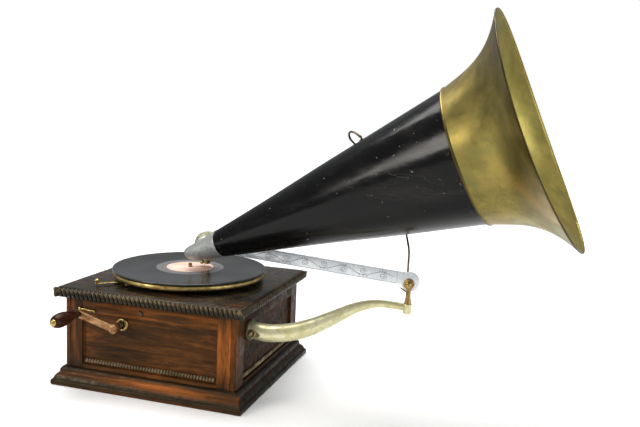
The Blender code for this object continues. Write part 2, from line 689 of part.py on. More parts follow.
def build_winding(f):
    """Winding shaft with its pinion, the ratchet and click, the crank and its handle."""
    along = aim((CRANK_X, 0.0, CRANK_Z), (0, 1, 0))
    tip = CRANK_Z - (CROWN_Z + GEAR_FACE) - 0.4
    far = ARBOR[1] - 8.0
    near = ARM_FACE - 3.0
    outline = [(0.0, near), (SHAFT_R, near), (SHAFT_R, far - 12.0), (tip, far - 10.0), (tip, far - 1.0),
               (SHAFT_R, far), (0.0, far)]
    shaft = turned("winding_shaft", outline, f["steel"], along, 24)
    seat(shaft, (CRANK_X, 0.0, CRANK_Z))

    outline = []
    step = 2 * pi / RATCHET_TEETH
    for i in range(RATCHET_TEETH):
        for radius, angle in ((RATCHET_R, i * step), (RATCHET_R - 2.4, (i + 0.15) * step)):
            outline.append((radius * cos(angle), radius * sin(angle)))
    ratchet = plate("ratchet_wheel", outline, LUG_Y[0] - 5.0, LUG_Y[0] - 1.0, f["steel"], along)
    bore(ratchet, (CRANK_X, LUG_Y[0] - 3.0, CRANK_Z), (0, 1, 0), SHAFT_R + GAP, THROUGH)
    seat(ratchet, (CRANK_X, 0.0, CRANK_Z))

    pawl = plate("ratchet_click", capsule(PAWL_NOSE, PAWL_PIVOT, 4.5), LUG_Y[0] - 4.5, LUG_Y[0] - 1.0,
                 f["steel"], FLAT)
    pin = turned("click_pin", rod_outline(CLICK_R, LUG_Y[0] - 2.0, LUG_Y[1]), f["steel"],
                 aim((PAWL_PIVOT[0], 0.0, PAWL_PIVOT[1]), (0, 1, 0)), 16)
    join(pawl, pin)
    seat(pawl, (PAWL_PIVOT[0], 0.0, PAWL_PIVOT[1]))

    face = -BODY_Y / 2 + RECESS
    outline = [(6.5, face - GAP), (6.5, face - 3.4), (8.0, face - 3.8), (10.8, face - 2.2), (10.8, face - GAP)]
    turned("crank_escutcheon", outline, f["aged_brass"], along, 32)

    lean = radians(CRANK_LEAN)
    end = (CRANK_X + CRANK_THROW * cos(lean), CRANK_Z + CRANK_THROW * sin(lean))
    arm = plate("crank_arm", capsule((CRANK_X, CRANK_Z), end, 11.0), ARM_FACE - ARM_PLATE, ARM_FACE,
                f["brown_brass"], FLAT)
    root = ARM_FACE - ARM_PLATE
    outline = [(0.0, root - 2.0), (6.0, root - 2.0), (7.5, root), (7.5, ARM_FACE + 8.0), (0.0, ARM_FACE + 8.0)]
    hub = turned("crank_hub", outline, f["brown_brass"], along, 24)
    join(arm, hub)
    bore(arm, (CRANK_X, ARM_FACE + 3.0, CRANK_Z), (0, 1, 0), SHAFT_R + GAP, 12.6)
    bore(arm, (end[0], ARM_FACE, end[1]), (0, 1, 0), HANDLE_PIN_R + GAP, 30.0)
    seat(arm, (CRANK_X, 0.0, CRANK_Z))

    out = aim((end[0], 0.0, end[1]), (0, 1, 0))
    outline = [(0.0, HANDLE_END - 3.5), (3.5, HANDLE_END - 3.2), (5.2, HANDLE_END - 1.5),
               (5.2, HANDLE_END - GAP), (HANDLE_PIN_R, HANDLE_END - GAP), (HANDLE_PIN_R, ARM_FACE + 0.5),
               (0.0, ARM_FACE + 0.5)]
    pin = turned("handle_pin", outline, f["aged_brass"], out, 24)
    seat(pin, (CRANK_X, 0.0, CRANK_Z))
    outline = [(3.0, root - GAP), (3.0, HANDLE_END), (6.2, HANDLE_END), (9.0, HANDLE_END + 4.0),
               (10.7, HANDLE_END + 10.0), (11.0, HANDLE_END + 17.0), (10.2, HANDLE_END + 26.0),
               (8.6, HANDLE_END + 36.0), (7.0, HANDLE_END + 44.0), (6.3, root - 6.0), (7.0, root - 3.5),
               (7.0, root - GAP)]
    grip = turned("crank_handle", outline, f["handle_wood"], out, 18)
    seat(grip, (end[0], 0.0, end[1]))


# ---------------------------------------------------------------- turntable and brake

def build_turntable(f):
    """Platter with its brass rim, the mat, the record and its label."""
    rim_in = PLATTER_R - RIM_WALL
    web_low = PLATTER_TOP - WEB_THICK
    outline = [(PIN_R + GAP, PLATTER_LOW - 2.0), (12.0, PLATTER_LOW - 2.0), (14.0, web_low), (rim_in, web_low),
               (rim_in, PLATTER_LOW), (PLATTER_R - 1.0, PLATTER_LOW), (PLATTER_R, PLATTER_LOW + 1.0),
               (PLATTER_R, PLATTER_TOP - 1.0), (PLATTER_R - 1.0, PLATTER_TOP), (PIN_R + GAP, PLATTER_TOP)]
    turned("platter", outline, f["aged_brass"], None, 40)
    mat_low = PLATTER_TOP + GAP
    outline = ring_outline(PIN_R + GAP, PLATTER_R - 3.0, mat_low, mat_low + MAT_THICK)
    turned("felt_mat", outline, f["felt"], None, 32)

    low = RECORD_TOP - RECORD_THICK
    seat_depth = 0.5
    outline = [(PIN_R + GAP, low), (RECORD_R - 1.0, low), (RECORD_R, low + 1.0), (RECORD_R, RECORD_TOP - 0.6),
               (RECORD_R - 0.8, RECORD_TOP), (LABEL_R + GAP, RECORD_TOP),
               (LABEL_R + GAP, RECORD_TOP - seat_depth), (PIN_R + GAP, RECORD_TOP - seat_depth)]
    turned("record", outline, f["shellac"], None, 40)
    low = RECORD_TOP - seat_depth + GAP
    outline = ring_outline(PIN_R + GAP, LABEL_R, low, RECORD_TOP + 0.1)
    turned("record_label", outline, f["label_paper"], None, 32)


def build_brake(f):
    """The turntable brake: a lever under the platter, its knob, its pad and its pivot screw."""
    pad_out = PLATTER_R - RIM_WALL - 0.6
    middle = pad_out - PAD_DEPTH / 2
    pad_at = (middle * cos(PAD_HEADING), middle * sin(PAD_HEADING))
    high = BRAKE_LOW + BRAKE_THICK
    lever = plate("brake_lever", capsule(BRAKE_PIVOT, BRAKE_KNOB, 7.0), BRAKE_LOW, high, f["aged_brass"])
    arm = plate("brake_pad_arm", capsule(BRAKE_PIVOT, pad_at, 6.4), BRAKE_LOW + 0.01, high - 0.01,
                f["aged_brass"])
    join(lever, arm)
    bore(lever, (*BRAKE_PIVOT, BRAKE_LOW), (0, 0, 1), BRAKE_SCREW_R + GAP, 12.0)
    bore(lever, (*BRAKE_KNOB, BRAKE_LOW), (0, 0, 1), KNOB_R + GAP, 12.0)
    seat(lever, (*BRAKE_PIVOT, 0.0))

    outline = [(0.0, BRAKE_LOW), (KNOB_R, BRAKE_LOW), (KNOB_R, high + GAP), (2.6, high + GAP),
               (2.2, high + 1.8),
               (3.8, high + 3.4), (3.9, high + 4.8), (2.6, high + 6.4), (0.0, high + 6.9)]
    knob = turned("brake_knob", outline, f["aged_brass"], Matrix.Translation((*BRAKE_KNOB, 0.0)), 24)
    seat(knob, (*BRAKE_PIVOT, 0.0))

    turn = Matrix.Translation((*pad_at, 0.0)) @ Matrix.Rotation(PAD_HEADING, 4, "Z")
    outline = [(-PAD_DEPTH / 2, -6.0), (PAD_DEPTH / 2, -6.0), (PAD_DEPTH / 2, 6.0), (-PAD_DEPTH / 2, 6.0)]
    pad = plate("brake_pad", outline, high + GAP, high + 5.5, f["leather"], turn)
    seat(pad, (*BRAKE_PIVOT, 0.0))

    outline = [(0.0, CASE_TOP - 8.0), (BRAKE_SCREW_R, CASE_TOP - 8.0), (BRAKE_SCREW_R, high + GAP),
               (4.0, high + GAP), (3.4, high + 2.0), (0.0, high + 2.2)]
    turned("brake_screw", outline, f["steel"], Matrix.Translation((*BRAKE_PIVOT, 0.0)), 20)


def build_latch(f):
    """The small hook on the front rail."""
    face = -BODY_Y / 2 - GAP
    hook = plate("latch_hook", capsule(LATCH_PIVOT, LATCH_END, 4.0), face - 1.8, face, f["aged_brass"], FLAT)
    stud = turned("latch_stud", rod_outline(3.2, face - 3.2, face - 1.0), f["aged_brass"],
                  aim((LATCH_PIVOT[0], 0.0, LATCH_PIVOT[1]), (0, 1, 0)), 16)
    join(hook, stud)
    seat(hook, (LATCH_PIVOT[0], 0.0, LATCH_PIVOT[1]))


# ---------------------------------------------------------------- support arm and swivel

def build_support_arm(f):
    """The curved, tapering arm that carries the swivel, with its flange and screw."""
    fx, fy, fz = FLANGE
    route = [Vector((fx + 3.0, fy, fz + 0.5)), Vector((fx + 12.0, fy, fz - 0.5)), Vector((180.0, -86.0, 109.0)),
             Vector((212.0, -76.0, 112.8)), Vector((239.0, -65.5, 121.5)), Vector((265.0, -54.0, 134.0)),
             Vector((292.0, -42.5, 148.5)), Vector((316.0, -33.5, 157.0)), Vector((340.0, -27.0, 159.6)),
             Vector((PIVOT[0] - 4.4, PIVOT[1], 157.0))]
    widths = [13.0, 13.2, 13.6, 13.5, 12.6, 10.9, 8.6, 6.8, 5.8, 5.4]
    per_span = 3
    points = smooth_route(route, per_span)
    sizes = smooth_route([Vector((w, 0.0, 0.0)) for w in widths], per_span)
    arm = swept("support_arm", points, [s.x for s in sizes], f["worn_nickel"], 2)
    outline = [(0.0, fx - 0.2), (FLANGE_R, fx - 0.2), (FLANGE_R, fx + 3.6), (FLANGE_R - 1.5, fx + 5.0),
               (0.0, fx + 5.0)]
    root = turned("support_flange", outline, f["worn_nickel"], aim((0.0, fy, fz), (1, 0, 0)), 32)
    join(arm, root)
    outline = [(0.0, SOCKET_LOW), (5.0, SOCKET_LOW), (6.3, SOCKET_LOW + 1.4), (6.3, SOCKET_HIGH),
               (STEM_R + GAP, SOCKET_HIGH), (STEM_R + GAP, SOCKET_LOW + 2.4), (0.0, SOCKET_LOW + 2.4)]
    socket = turned("support_socket", outline, f["worn_nickel"], Matrix.Translation((*PIVOT, 0.0)), 20)
    join(arm, socket)
    at_bolt = aim((0.0, *BOLT), (1, 0, 0))
    recess = turned("bolt_recess", rod_outline(6.4, fx + BOLT_SEAT, fx + 19.0), f["worn_nickel"], at_bolt, 24)
    cut(arm, recess)
    bolt_hole = turned("bolt_hole", rod_outline(BOLT_R + GAP, fx - 8.0, fx + 9.0), f["worn_nickel"],
                       at_bolt, 16)
    cut(arm, bolt_hole)
    under = fx + BOLT_SEAT + GAP
    outline = [(0.0, fx - 0.1), (BOLT_R, fx - 0.1), (BOLT_R, under), (4.8, under), (4.8, fx + 7.6),
               (3.8, fx + 8.6), (0.0, fx + 9.0)]
    turned("flange_bolt", outline, f["brown_brass"], at_bolt, 20)


def build_swivel(f, swing):
    """The stem that turns in the socket, the tilt screw through its eye, and its peg."""
    foot = SOCKET_LOW + 3.0
    outline = [(0.0, foot), (STEM_R, foot), (STEM_R, SOCKET_HIGH + GAP), (5.0, SOCKET_HIGH + GAP),
               (5.0, SOCKET_HIGH + 2.5), (4.3, SOCKET_HIGH + 6.0), (3.5, STEM_TOP - 4.5), (3.5, STEM_TOP),
               (0.0, STEM_TOP)]
    stem = turned("swivel_stem", outline, f["brown_brass"], None, 16)
    eye = turned("swivel_eye", rod_outline(EYE_R, EYE_FRONT, EYE_BACK), f["brown_brass"],
                 aim((0.0, 0.0, EYE_Z), (0, 1, 0)), 32)
    neck = block("swivel_neck", (-3.0, EYE_FRONT + 0.2, STEM_TOP - 3.5), (3.0, EYE_BACK - 0.2, EYE_Z - 5.0),
                 f["brown_brass"])
    join(stem, eye)
    join(stem, neck)
    bore(stem, (0.0, 0.0, EYE_Z), (0, 1, 0), TILT_PIN_R + GAP, THROUGH)
    peg = turned("swivel_peg", [(0.0, 0.0), (1.2, 0.0), (1.2, 13.0), (0.0, 13.6)], f["brown_brass"],
                 aim(PEG_ROOT, (-1, 0, 0.45)), 12)
    join(stem, peg)
    seat(stem, (0.0, 0.0, 0.0), swing)

    back = BAR_FRONT + BAR_THICK
    outline = [(0.0, EYE_FRONT - 3.0), (3.4, EYE_FRONT - 3.0), (4.8, EYE_FRONT - 1.8), (4.8, EYE_FRONT - GAP),
               (TILT_PIN_R, EYE_FRONT - GAP), (TILT_PIN_R, back + GAP), (5.0, back + GAP), (5.0, back + 3.5),
               (2.5, back + 4.0), (0.0, back + 4.0)]
    screw = turned("tilt_screw", outline, f["aged_brass"], aim((0.0, 0.0, EYE_Z), (0, 1, 0)), 24)
    seat(screw, (0.0, 0.0, 0.0), swing)


# ---------------------------------------------------------------- travelling arm, horn and soundbox

def horn_point(along, radius, around):
    """A point by its place along the horn's axis and its angle from underneath, in degrees."""
    rise = radians(HORN_RISE)
    axis = Vector((cos(rise), 0.0, sin(rise)))
    up = Vector((-sin(rise), 0.0, cos(rise)))
    angle = radians(around)
    return HORN_START + axis * along + (up * -cos(angle) + Vector((0.0, 1.0, 0.0)) * sin(angle)) * radius


def cone_radius(along):
    """Outer radius of the cone at a distance from its small end."""
    return CONE_R0 + (CONE_R1 - CONE_R0) * along / CONE_LENGTH


def bell_radius(along):
    """Outer radius of the bell at a distance from its joint with the cone."""
    flare = BELL_R - CONE_R1 - BELL_SLOPE * BELL_LENGTH
    return CONE_R1 + BELL_SLOPE * along + flare * (along / BELL_LENGTH) ** BELL_POWER


def arc(centre, radius, first, last, steps):
    """Points along an arc between two angles."""
    angles = [first + (last - first) * i / steps for i in range(steps + 1)]
    return [(centre[0] + radius * cos(a), centre[1] + radius * sin(a)) for a in angles]


def edge_meets(centre, radius, offset, side):
    """Angle at which the bar's edge, offset from its centre line, meets a circle on one side."""
    heading = Vector((-1.0, BAR_RISE)).normalized()
    start = Vector((0.0, BAR_MID_Z + offset)) - Vector(centre)
    near = start - heading * start.dot(heading)
    reach = sqrt(radius ** 2 - near.length_squared)
    point = near - heading * reach * side
    return atan2(point.y, point.x)


def build_bar(f, tilt):
    """The flat bar between the swivel and the soundbox."""
    end_x = SOUNDBOX[0]
    low = BAR_FRONT
    high = BAR_FRONT + BAR_THICK
    tab = (0.0, TAB_Z)
    ring = (end_x, SOUNDBOX[1])
    half = BAR_WIDTH / 2
    upper = [edge_meets(centre, radius, half, side)
             for centre, radius, side in ((tab, TAB_R, -1), (ring, RING_R, 1))]
    lower = [edge_meets(centre, radius, -half, side)
             for centre, radius, side in ((tab, TAB_R, -1), (ring, RING_R, 1))]
    outline = arc(tab, TAB_R, lower[0], upper[0], 20)
    outline += arc(ring, RING_R, upper[1], lower[1] + 2 * pi, 20)
    bar = plate("travelling_arm", outline, low, high, f["nickel"], FLAT)
    bore(bar, (end_x, low, SOUNDBOX[1]), (0, 1, 0), NECK_R + GAP, THROUGH, 40)
    bore(bar, (0.0, low, EYE_Z), (0, 1, 0), TILT_PIN_R + GAP, THROUGH)
    seat(bar, (0.0, 0.0, EYE_Z), tilt)


def build_horn(f, tilt):
    """The black cone, the brass bell, the wire that carries them, and its eyelet."""
    rise = radians(HORN_RISE)
    matrix = aim(HORN_START, (cos(rise), 0.0, sin(rise)))
    far = CONE_LENGTH + LAP
    outline = [(CONE_R0, 0.0), (cone_radius(far), far), (cone_radius(far) - SHEET, far),
               (CONE_R0 - SHEET, 0.0)]
    cone = turned("horn_cone", outline, f["horn_black"], matrix, 40)
    seat(cone, (0.0, 0.0, EYE_Z), tilt)

    steps = 6
    outer = [(bell_radius(BELL_LENGTH * i / steps) + GAP + SHEET * (1 - i / steps),
              CONE_LENGTH + BELL_LENGTH * i / steps) for i in range(steps + 1)]
    rim_r, rim_z = outer[-1][0] - 1.0, outer[-1][1]
    roll = 2.2
    curl = [(rim_r, rim_z)]
    curl += [(rim_r + roll * sin(radians(a)), rim_z + roll - roll * cos(radians(a))) for a in (70, 140)]
    curl += [(rim_r - roll, rim_z + roll)]
    inner = [(r - SHEET, z) for r, z in outer[:-1]]
    bell = turned("horn_bell", outer[:-1] + curl + inner[::-1], f["aged_brass"], matrix, 40)
    seat(bell, (0.0, 0.0, EYE_Z), tilt)

    foot_x, foot_y = WIRE_FOOT
    along = [Vector((foot_x, foot_y, z)) for z in WIRE_FOOT_Z]
    for s, out, around in WIRE_BOW:
        along.append(horn_point(s, cone_radius(s) + out, around))
    route = smooth_route(along, 3)
    wire = swept("horn_wire", route, [WIRE_R] * len(route), f["brown_brass"], 1)
    seat(wire, (0.0, 0.0, EYE_Z), tilt)

    holder = block("wire_holder", (foot_x - 4.5, BAR_FRONT + BAR_THICK + GAP, 199.6),
                   (foot_x + 4.5, foot_y + 3.6, 208.5), f["brown_brass"], bevel=0.6)
    bore(holder, (foot_x, foot_y, 206.0), (0, 0, 1), WIRE_R + GAP, 12.0)
    seat(holder, (0.0, 0.0, EYE_Z), tilt)


def build_elbow(f, tilt):
    """The cast elbow between the horn and the soundbox."""
    rise = radians(HORN_RISE)
    back = Vector((-cos(rise), 0.0, -sin(rise)))
    sx, sz = SOUNDBOX
    stations = [
        (HORN_START - back * 12.0, back, CONE_R0 - 1.6),
        (HORN_START - back * 0.5, back, CONE_R0 - 1.6),
        (HORN_START + back * 0.4, back, CONE_R0 - 0.4),
        (HORN_START + back * 14.0, back, 19.2),
        (HORN_START + back * 27.0 + Vector((0, 0.6, 0.4)), back + Vector((0, 0.12, 0.05)), 17.6),
        (Vector((sx + 1.4, -16.4, 211.6)), Vector((-0.85, 0.50, -0.15)), 16.6),
        (Vector((sx - 3.0, -10.6, 211.5)), Vector((-0.35, 0.93, 0.0)), 15.9),
        (Vector((sx - 1.2, -4.6, 211.9)), Vector((0.22, 0.97, 0.0)), 15.3),
        (Vector((sx, -0.2, sz)), Vector((0.0, 1.0, 0.0)), 15.0),
        (Vector((sx, 0.6, sz)), Vector((0.0, 1.0, 0.0)), NECK_R),
        (Vector((sx, 9.8, sz)), Vector((0.0, 1.0, 0.0)), NECK_R),
    ]
    elbow = lofted_tube("horn_elbow", stations, 1.6, f["pot_metal"])
    seat(elbow, (0.0, 0.0, EYE_Z), tilt)


def build_soundbox(f, turn):
    """The soundbox: back, front ring, diaphragm, stylus bar, needle and its screw."""
    sx, sz = SOUNDBOX
    matrix = aim((sx, 0.0, sz), (0, 1, 0))
    start = BAR_FRONT + BAR_THICK + GAP
    rim = SOUNDBOX_R
    outline = [(NECK_R + GAP, start), (15.2, start), (15.2, 10.5), (rim - 1.5, 10.5), (rim, 11.8), (rim, 14.3),
               (rim - 2.0, 14.3), (rim - 2.0, 12.3), (8.0, 12.3), (8.0, 10.5), (NECK_R + GAP, 10.5)]
    hub = (sx, 0.0, sz)
    seat(turned("soundbox_back", outline, f["worn_nickel"], matrix, 28), hub, turn)
    outline = ring_outline(0.0, rim - 2.4, 14.6, 15.0)
    seat(turned("diaphragm", outline, f["mica"], matrix, 20), hub, turn)
    outline = [(19.0, 15.3), (rim, 15.3), (rim, 16.8), (rim - 1.2, 17.9), (20.0, 17.9), (19.0, 17.0)]
    seat(turned("soundbox_ring", outline, f["worn_nickel"], matrix, 28), hub, turn)

    bar = block("stylus_bar", (sx - 1.5, 18.3, 183.0), (sx + 1.5, 20.3, sz + 1.5), f["steel"], bevel=0.3)
    tip = turned("stylus_tip", rod_outline(0.9, 15.3, 19.0), f["steel"], aim((sx, 0.0, sz), (0, 1, 0)), 12)
    chuck = block("needle_chuck", (sx - 5.2, 11.4, 181.0), (sx + 1.8, 20.2, 186.0), f["brown_brass"], bevel=0.8)
    join(bar, tip)
    join(bar, chuck)
    lean = Vector((-4.6, 0.0, -6.6)).normalized()
    tip_at = Vector(NEEDLE_TIP)
    root = tip_at - lean * 7.8
    bore(bar, root, lean, 1.1, 9.0, 12)
    bore(bar, (sx - 5.2, tip_at.y, 183.4), (1, 0, 0), 1.3, 4.0, 12)
    seat(bar, hub, turn)

    outline = [(0.0, -11.0), (0.75, -11.0), (0.75, -3.2), (0.12, 0.0), (0.0, 0.0)]
    seat(turned("needle", outline, f["steel"], aim(tip_at, lean), 12), hub, turn)
    outline = [(0.0, -0.1), (1.0, -0.1), (1.0, 2.6), (2.0, 3.0), (3.2, 4.0), (3.2, 7.6), (2.0, 8.6), (0.0, 8.8)]
    screw = turned("needle_screw", outline, f["brown_brass"], aim((sx - 5.2, tip_at.y, 183.4), (-1, 0, 0)), 16)
    seat(screw, hub, turn)


def main():
    """Build the phonograph."""
    clear_scene()
    finishes = make_finishes()
    build_case(finishes)
    build_motor_frame(finishes)
    to_spindle = build_spring_train(finishes)
    build_spindle(finishes, to_spindle)
    build_governor(finishes)
    build_regulator(finishes)
    build_winding(finishes)
    build_turntable(finishes)
    build_brake(finishes)
    build_latch(finishes)
    build_support_arm(finishes)
    swing = axis_empty("swing_axis", (*PIVOT, 0.0), ARM_TURN)
    tilt = axis_empty("tilt_axis", (0.0, 0.0, EYE_Z), 0.0, swing)
    turn = axis_empty("soundbox_axis", (SOUNDBOX[0], 0.0, SOUNDBOX[1]), 0.0, swing)
    build_swivel(finishes, swing)
    build_bar(finishes, tilt)
    build_horn(finishes, tilt)
    build_elbow(finishes, tilt)
    build_soundbox(finishes, turn)


main()
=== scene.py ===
"""Looks of a wind-up phonograph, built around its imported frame.

Shapes are drawn in millimetres and reach their meshes in metres, in the frame's own axes.
+X runs along the crank side towards the bell, -Y is the crank side and +Z is up.
"""

import logging
from dataclasses import dataclass
from enum import Enum
from math import atan2, cos, hypot, pi, radians, sin, sqrt
from typing import Callable, Sequence

import bmesh
import bpy
from mathutils import Matrix, Vector


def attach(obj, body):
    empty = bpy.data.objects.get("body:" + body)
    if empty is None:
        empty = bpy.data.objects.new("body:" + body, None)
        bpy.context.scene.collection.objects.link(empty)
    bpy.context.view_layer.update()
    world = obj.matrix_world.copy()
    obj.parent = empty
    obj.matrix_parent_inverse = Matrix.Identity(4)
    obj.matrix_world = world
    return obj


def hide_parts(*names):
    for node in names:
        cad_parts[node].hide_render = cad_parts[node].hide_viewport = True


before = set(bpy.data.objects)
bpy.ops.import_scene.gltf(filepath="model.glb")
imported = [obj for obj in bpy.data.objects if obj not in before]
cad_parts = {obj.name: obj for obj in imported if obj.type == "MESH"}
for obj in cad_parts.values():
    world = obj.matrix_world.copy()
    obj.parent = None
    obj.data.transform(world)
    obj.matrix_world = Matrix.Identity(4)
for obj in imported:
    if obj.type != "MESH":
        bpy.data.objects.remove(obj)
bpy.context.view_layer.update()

LOG = logging.getLogger("phonograph")
MM = 0.001
MERGE = 0.002

Colour = tuple[float, float, float]
Point2 = tuple[float, float]
Socket = bpy.types.NodeSocket
Value = Socket | float | Sequence[float]

UPRIGHT = Matrix(((1, 0, 0, 0), (0, 0, 1, 0), (0, 1, 0, 0), (0, 0, 0, 1)))
PIVOT = Vector((375.5, -23.0, 0.0))
ARM = Matrix.Translation(PIVOT) @ Matrix.Rotation(radians(-3.94), 4, "Z")
HORN_START = Vector((-315.0, -20.7, 224.4))
HORN_RISE = radians(23.17)
HORN_AXIS = Vector((cos(HORN_RISE), 0.0, sin(HORN_RISE)))
HORN_UP = Vector((-sin(HORN_RISE), 0.0, cos(HORN_RISE)))


class Axis(Enum):
    """The direction that wood grain or brushing runs in, as a stretch of the pattern."""

    X = (0.10, 1.0, 1.0)
    Y = (1.0, 0.10, 1.0)
    Z = (1.0, 1.0, 0.10)


# ------------------------------------------------------------------ node trees


class Graph:
    """A node tree that is being filled in."""

    def __init__(self, tree: bpy.types.NodeTree) -> None:
        """Start on a tree.

        Args:
            tree: the material's or the group's node tree.
        """
        self.tree = tree

    def add(self, kind: str, **settings: object) -> bpy.types.Node:
        """Add a node.

        Args:
            kind: Blender's name for the type of node.
            settings: properties to set on it.

        Returns:
            The new node.
        """
        node = self.tree.nodes.new(kind)
        for name, value in settings.items():
            setattr(node, name, value)
        return node

    def put(self, socket: Socket, value: Value) -> None:
        """Link a socket, or set its value.

        Args:
            socket: the input to feed.
            value: another node's output, a number or a colour.
        """
        if isinstance(value, Socket):
            self.tree.links.new(value, socket)
        else:
            socket.default_value = value

    def place(self) -> Socket:
        """Object coordinates, which are metres in the frame's axes."""
        return self.add("ShaderNodeTexCoord").outputs["Object"]

    def stretch(self, vector: Value, scale: Sequence[float],
            turn: Sequence[float] = (0.0, 0.0, 0.0)) -> Socket:
        """Stretch and turn coordinates.

        Args:
            vector: the coordinates.
            scale: a factor along each axis.
            turn: a turn about each axis, in radians.

        Returns:
            The new coordinates.
        """
        node = self.add("ShaderNodeMapping")
        self.put(node.inputs["Vector"], vector)
        self.put(node.inputs["Scale"], scale)
        self.put(node.inputs["Rotation"], turn)
        return node.outputs["Vector"]

    def noise(self, vector: Value, scale: Value, detail: float = 4.0, rough: float = 0.55,
            swirl: float = 0.0) -> Socket:
        """Cloudy noise.

        Args:
            vector: the coordinates.
            scale: how fine it is, per metre.
            detail: octaves.
            rough: strength of the finer octaves.
            swirl: how far it is drawn out of shape.

        Returns:
            Its value, about 0.5 in the middle.
        """
        node = self.add("ShaderNodeTexNoise")
        self.put(node.inputs["Vector"], vector)
        self.put(node.inputs["Scale"], scale)
        self.put(node.inputs["Detail"], detail)
        self.put(node.inputs["Roughness"], rough)
        self.put(node.inputs["Distortion"], swirl)
        return node.outputs[0]

    def fade(self, value: Value, low: Value, high: Value, to_low: float = 0.0,
            to_high: float = 1.0) -> Socket:
        """Spread a band of values over a new range, and hold it at the ends.

        Args:
            value: what is read.
            low: the value that gives to_low.
            high: the value that gives to_high.
            to_low: result below the band.
            to_high: result above the band.

        Returns:
            The new value.
        """
        node = self.add("ShaderNodeMapRange", interpolation_type="SMOOTHSTEP")
        for name, given in (("Value", value), ("From Min", low), ("From Max", high), ("To Min", to_low),
                ("To Max", to_high)):
            self.put(node.inputs[name], given)
        return node.outputs[0]

    def sum(self, operation: str, first: Value, second: Value = 0.0) -> Socket:
        """One step of arithmetic.

        Args:
            operation: Blender's name for it.
            first: left side.
            second: right side.

        Returns:
            The result.
        """
        node = self.add("ShaderNodeMath", operation=operation)
        self.put(node.inputs[0], first)
        self.put(node.inputs[1], second)
        return node.outputs[0]

    def times(self, first: Value, second: Value) -> Socket:
        """The product of two values."""
        return self.sum("MULTIPLY", first, second)

    def mix(self, share: Value, first: Value, second: Value) -> Socket:
        """Mix two colours.

        Args:
            share: how much of the second shows.
            first: colour at share 0.
            second: colour at share 1.

        Returns:
            The mixed colour.
        """
        node = self.add("ShaderNodeMix", data_type="RGBA")
        self.put(node.inputs[0], share)
        self.put(node.inputs[6], (*first, 1.0) if isinstance(first, tuple) else first)
        self.put(node.inputs[7], (*second, 1.0) if isinstance(second, tuple) else second)
        return node.outputs[2]

    def bump(self, height: Value, depth_mm: float, strength: float = 1.0,
            normal: Value | None = None) -> Socket:
        """Raise the surface by a height map.

        Args:
            height: the map, from 0 to 1.
            depth_mm: height at 1.
            strength: share of it that shows.
            normal: an earlier bump to add to.

        Returns:
            The bent normal.
        """
        node = self.add("ShaderNodeBump")
        self.put(node.inputs["Height"], height)
        self.put(node.inputs["Distance"], depth_mm * MM)
        self.put(node.inputs["Strength"], strength)
        if normal is not None:
            self.put(node.inputs["Normal"], normal)
        return node.outputs[0]

    def group(self, tree: bpy.types.NodeTree, **values: Value) -> bpy.types.Node:
        """Place a shared group.

        Args:
            tree: the group.
            values: its inputs by name.

        Returns:
            The group's node.
        """
        node = self.add("ShaderNodeGroup", node_tree=tree)
        for name, value in values.items():
            self.put(node.inputs[name], value)
        return node


def patches(graph: Graph, vector: Value, scale: Value, low: Value, high: Value) -> Socket:
    """Place the group for patchy wear.

    Args:
        graph: the material's graph.
        vector: the coordinates.
        scale: how fine the patches are, per metre.
        low: the cloud's value where a patch begins.
        high: the cloud's value where it is full.

    Returns:
        The patches' mask.
    """
    return graph.group(PATCHES, Vector=vector, Scale=scale, Low=low, High=high).outputs["Mask"]


def scratches(graph: Graph, vector: Value, scale: float, width: float) -> Socket:
    """Place the group for fine scratches, and return its mask."""
    return graph.group(SCRATCHES, Vector=vector, Scale=scale, Width=width).outputs["Mask"]


def wear_and_highlight_share(graph: Graph) -> Socket:
    """How worn the piece is at each point, which is 0 on a piece that isn't marked; on the rope edge and the
    plinth's shoulders the mark is a painted highlight.
    """
    return graph.add("ShaderNodeAttribute", attribute_name="worn").outputs["Fac"]


def disc_radius(graph: Graph, place: Value) -> Socket:
    """Distance from the disc's middle, in metres.

    Args:
        graph: the material's graph.
        place: Object coordinates.

    Returns:
        The distance.
    """
    node = graph.add("ShaderNodeVectorMath", operation="LENGTH")
    graph.put(node.inputs[0], graph.stretch(place, (1.0, 1.0, 0.0)))
    return node.outputs["Value"]


def cover(graph: Graph, shader: bpy.types.Node, colour: Value, rough: Value, normal: Value) -> None:
    """Feed a shader the three things that change over every surface.

    Args:
        graph: the material's graph.
        shader: its Principled shader.
        colour: what feeds Base Color.
        rough: what feeds Roughness.
        normal: what feeds Normal.
    """
    for name, value in (("Base Color", colour), ("Roughness", rough), ("Normal", normal)):
        graph.put(shader.inputs[name], value)


def new_group(name: str, inputs: Sequence[tuple[str, str, float]], outputs: Sequence[str]) -> tuple[Graph,
        bpy.types.Node, bpy.types.Node]:
    """Start a shared node group.

    Args:
        name: the group's name.
        inputs: name, socket type and first value of each input.
        outputs: names of its value outputs.

    Returns:
        The graph, and its input and output nodes.
    """
    tree = bpy.data.node_groups.new(name, "ShaderNodeTree")
    for label, kind, first in inputs:
        socket = tree.interface.new_socket(label, in_out="INPUT", socket_type=kind)
        if kind == "NodeSocketFloat":
            socket.default_value = first
    for label in outputs:
        tree.interface.new_socket(label, in_out="OUTPUT", socket_type="NodeSocketFloat")
    graph = Graph(tree)
    return graph, graph.add("NodeGroupInput"), graph.add("NodeGroupOutput")


def make_patches() -> bpy.types.NodeTree:
    """The group for patchy wear: islands of rubbed or stained surface.

    Returns:
        A group with inputs Vector, Scale, Low and High and output Mask.
    """
    graph, given, made = new_group("patches", (("Vector", "NodeSocketVector", 0.0),
        ("Scale", "NodeSocketFloat", 40.0), ("Low", "NodeSocketFloat", 0.5),
        ("High", "NodeSocketFloat", 0.6)), ("Mask",))
    cloud = graph.noise(given.outputs["Vector"], given.outputs["Scale"], 7.0, 0.6, 0.4)
    graph.put(made.inputs["Mask"], graph.fade(cloud, given.outputs["Low"], given.outputs["High"]))
    return graph.tree


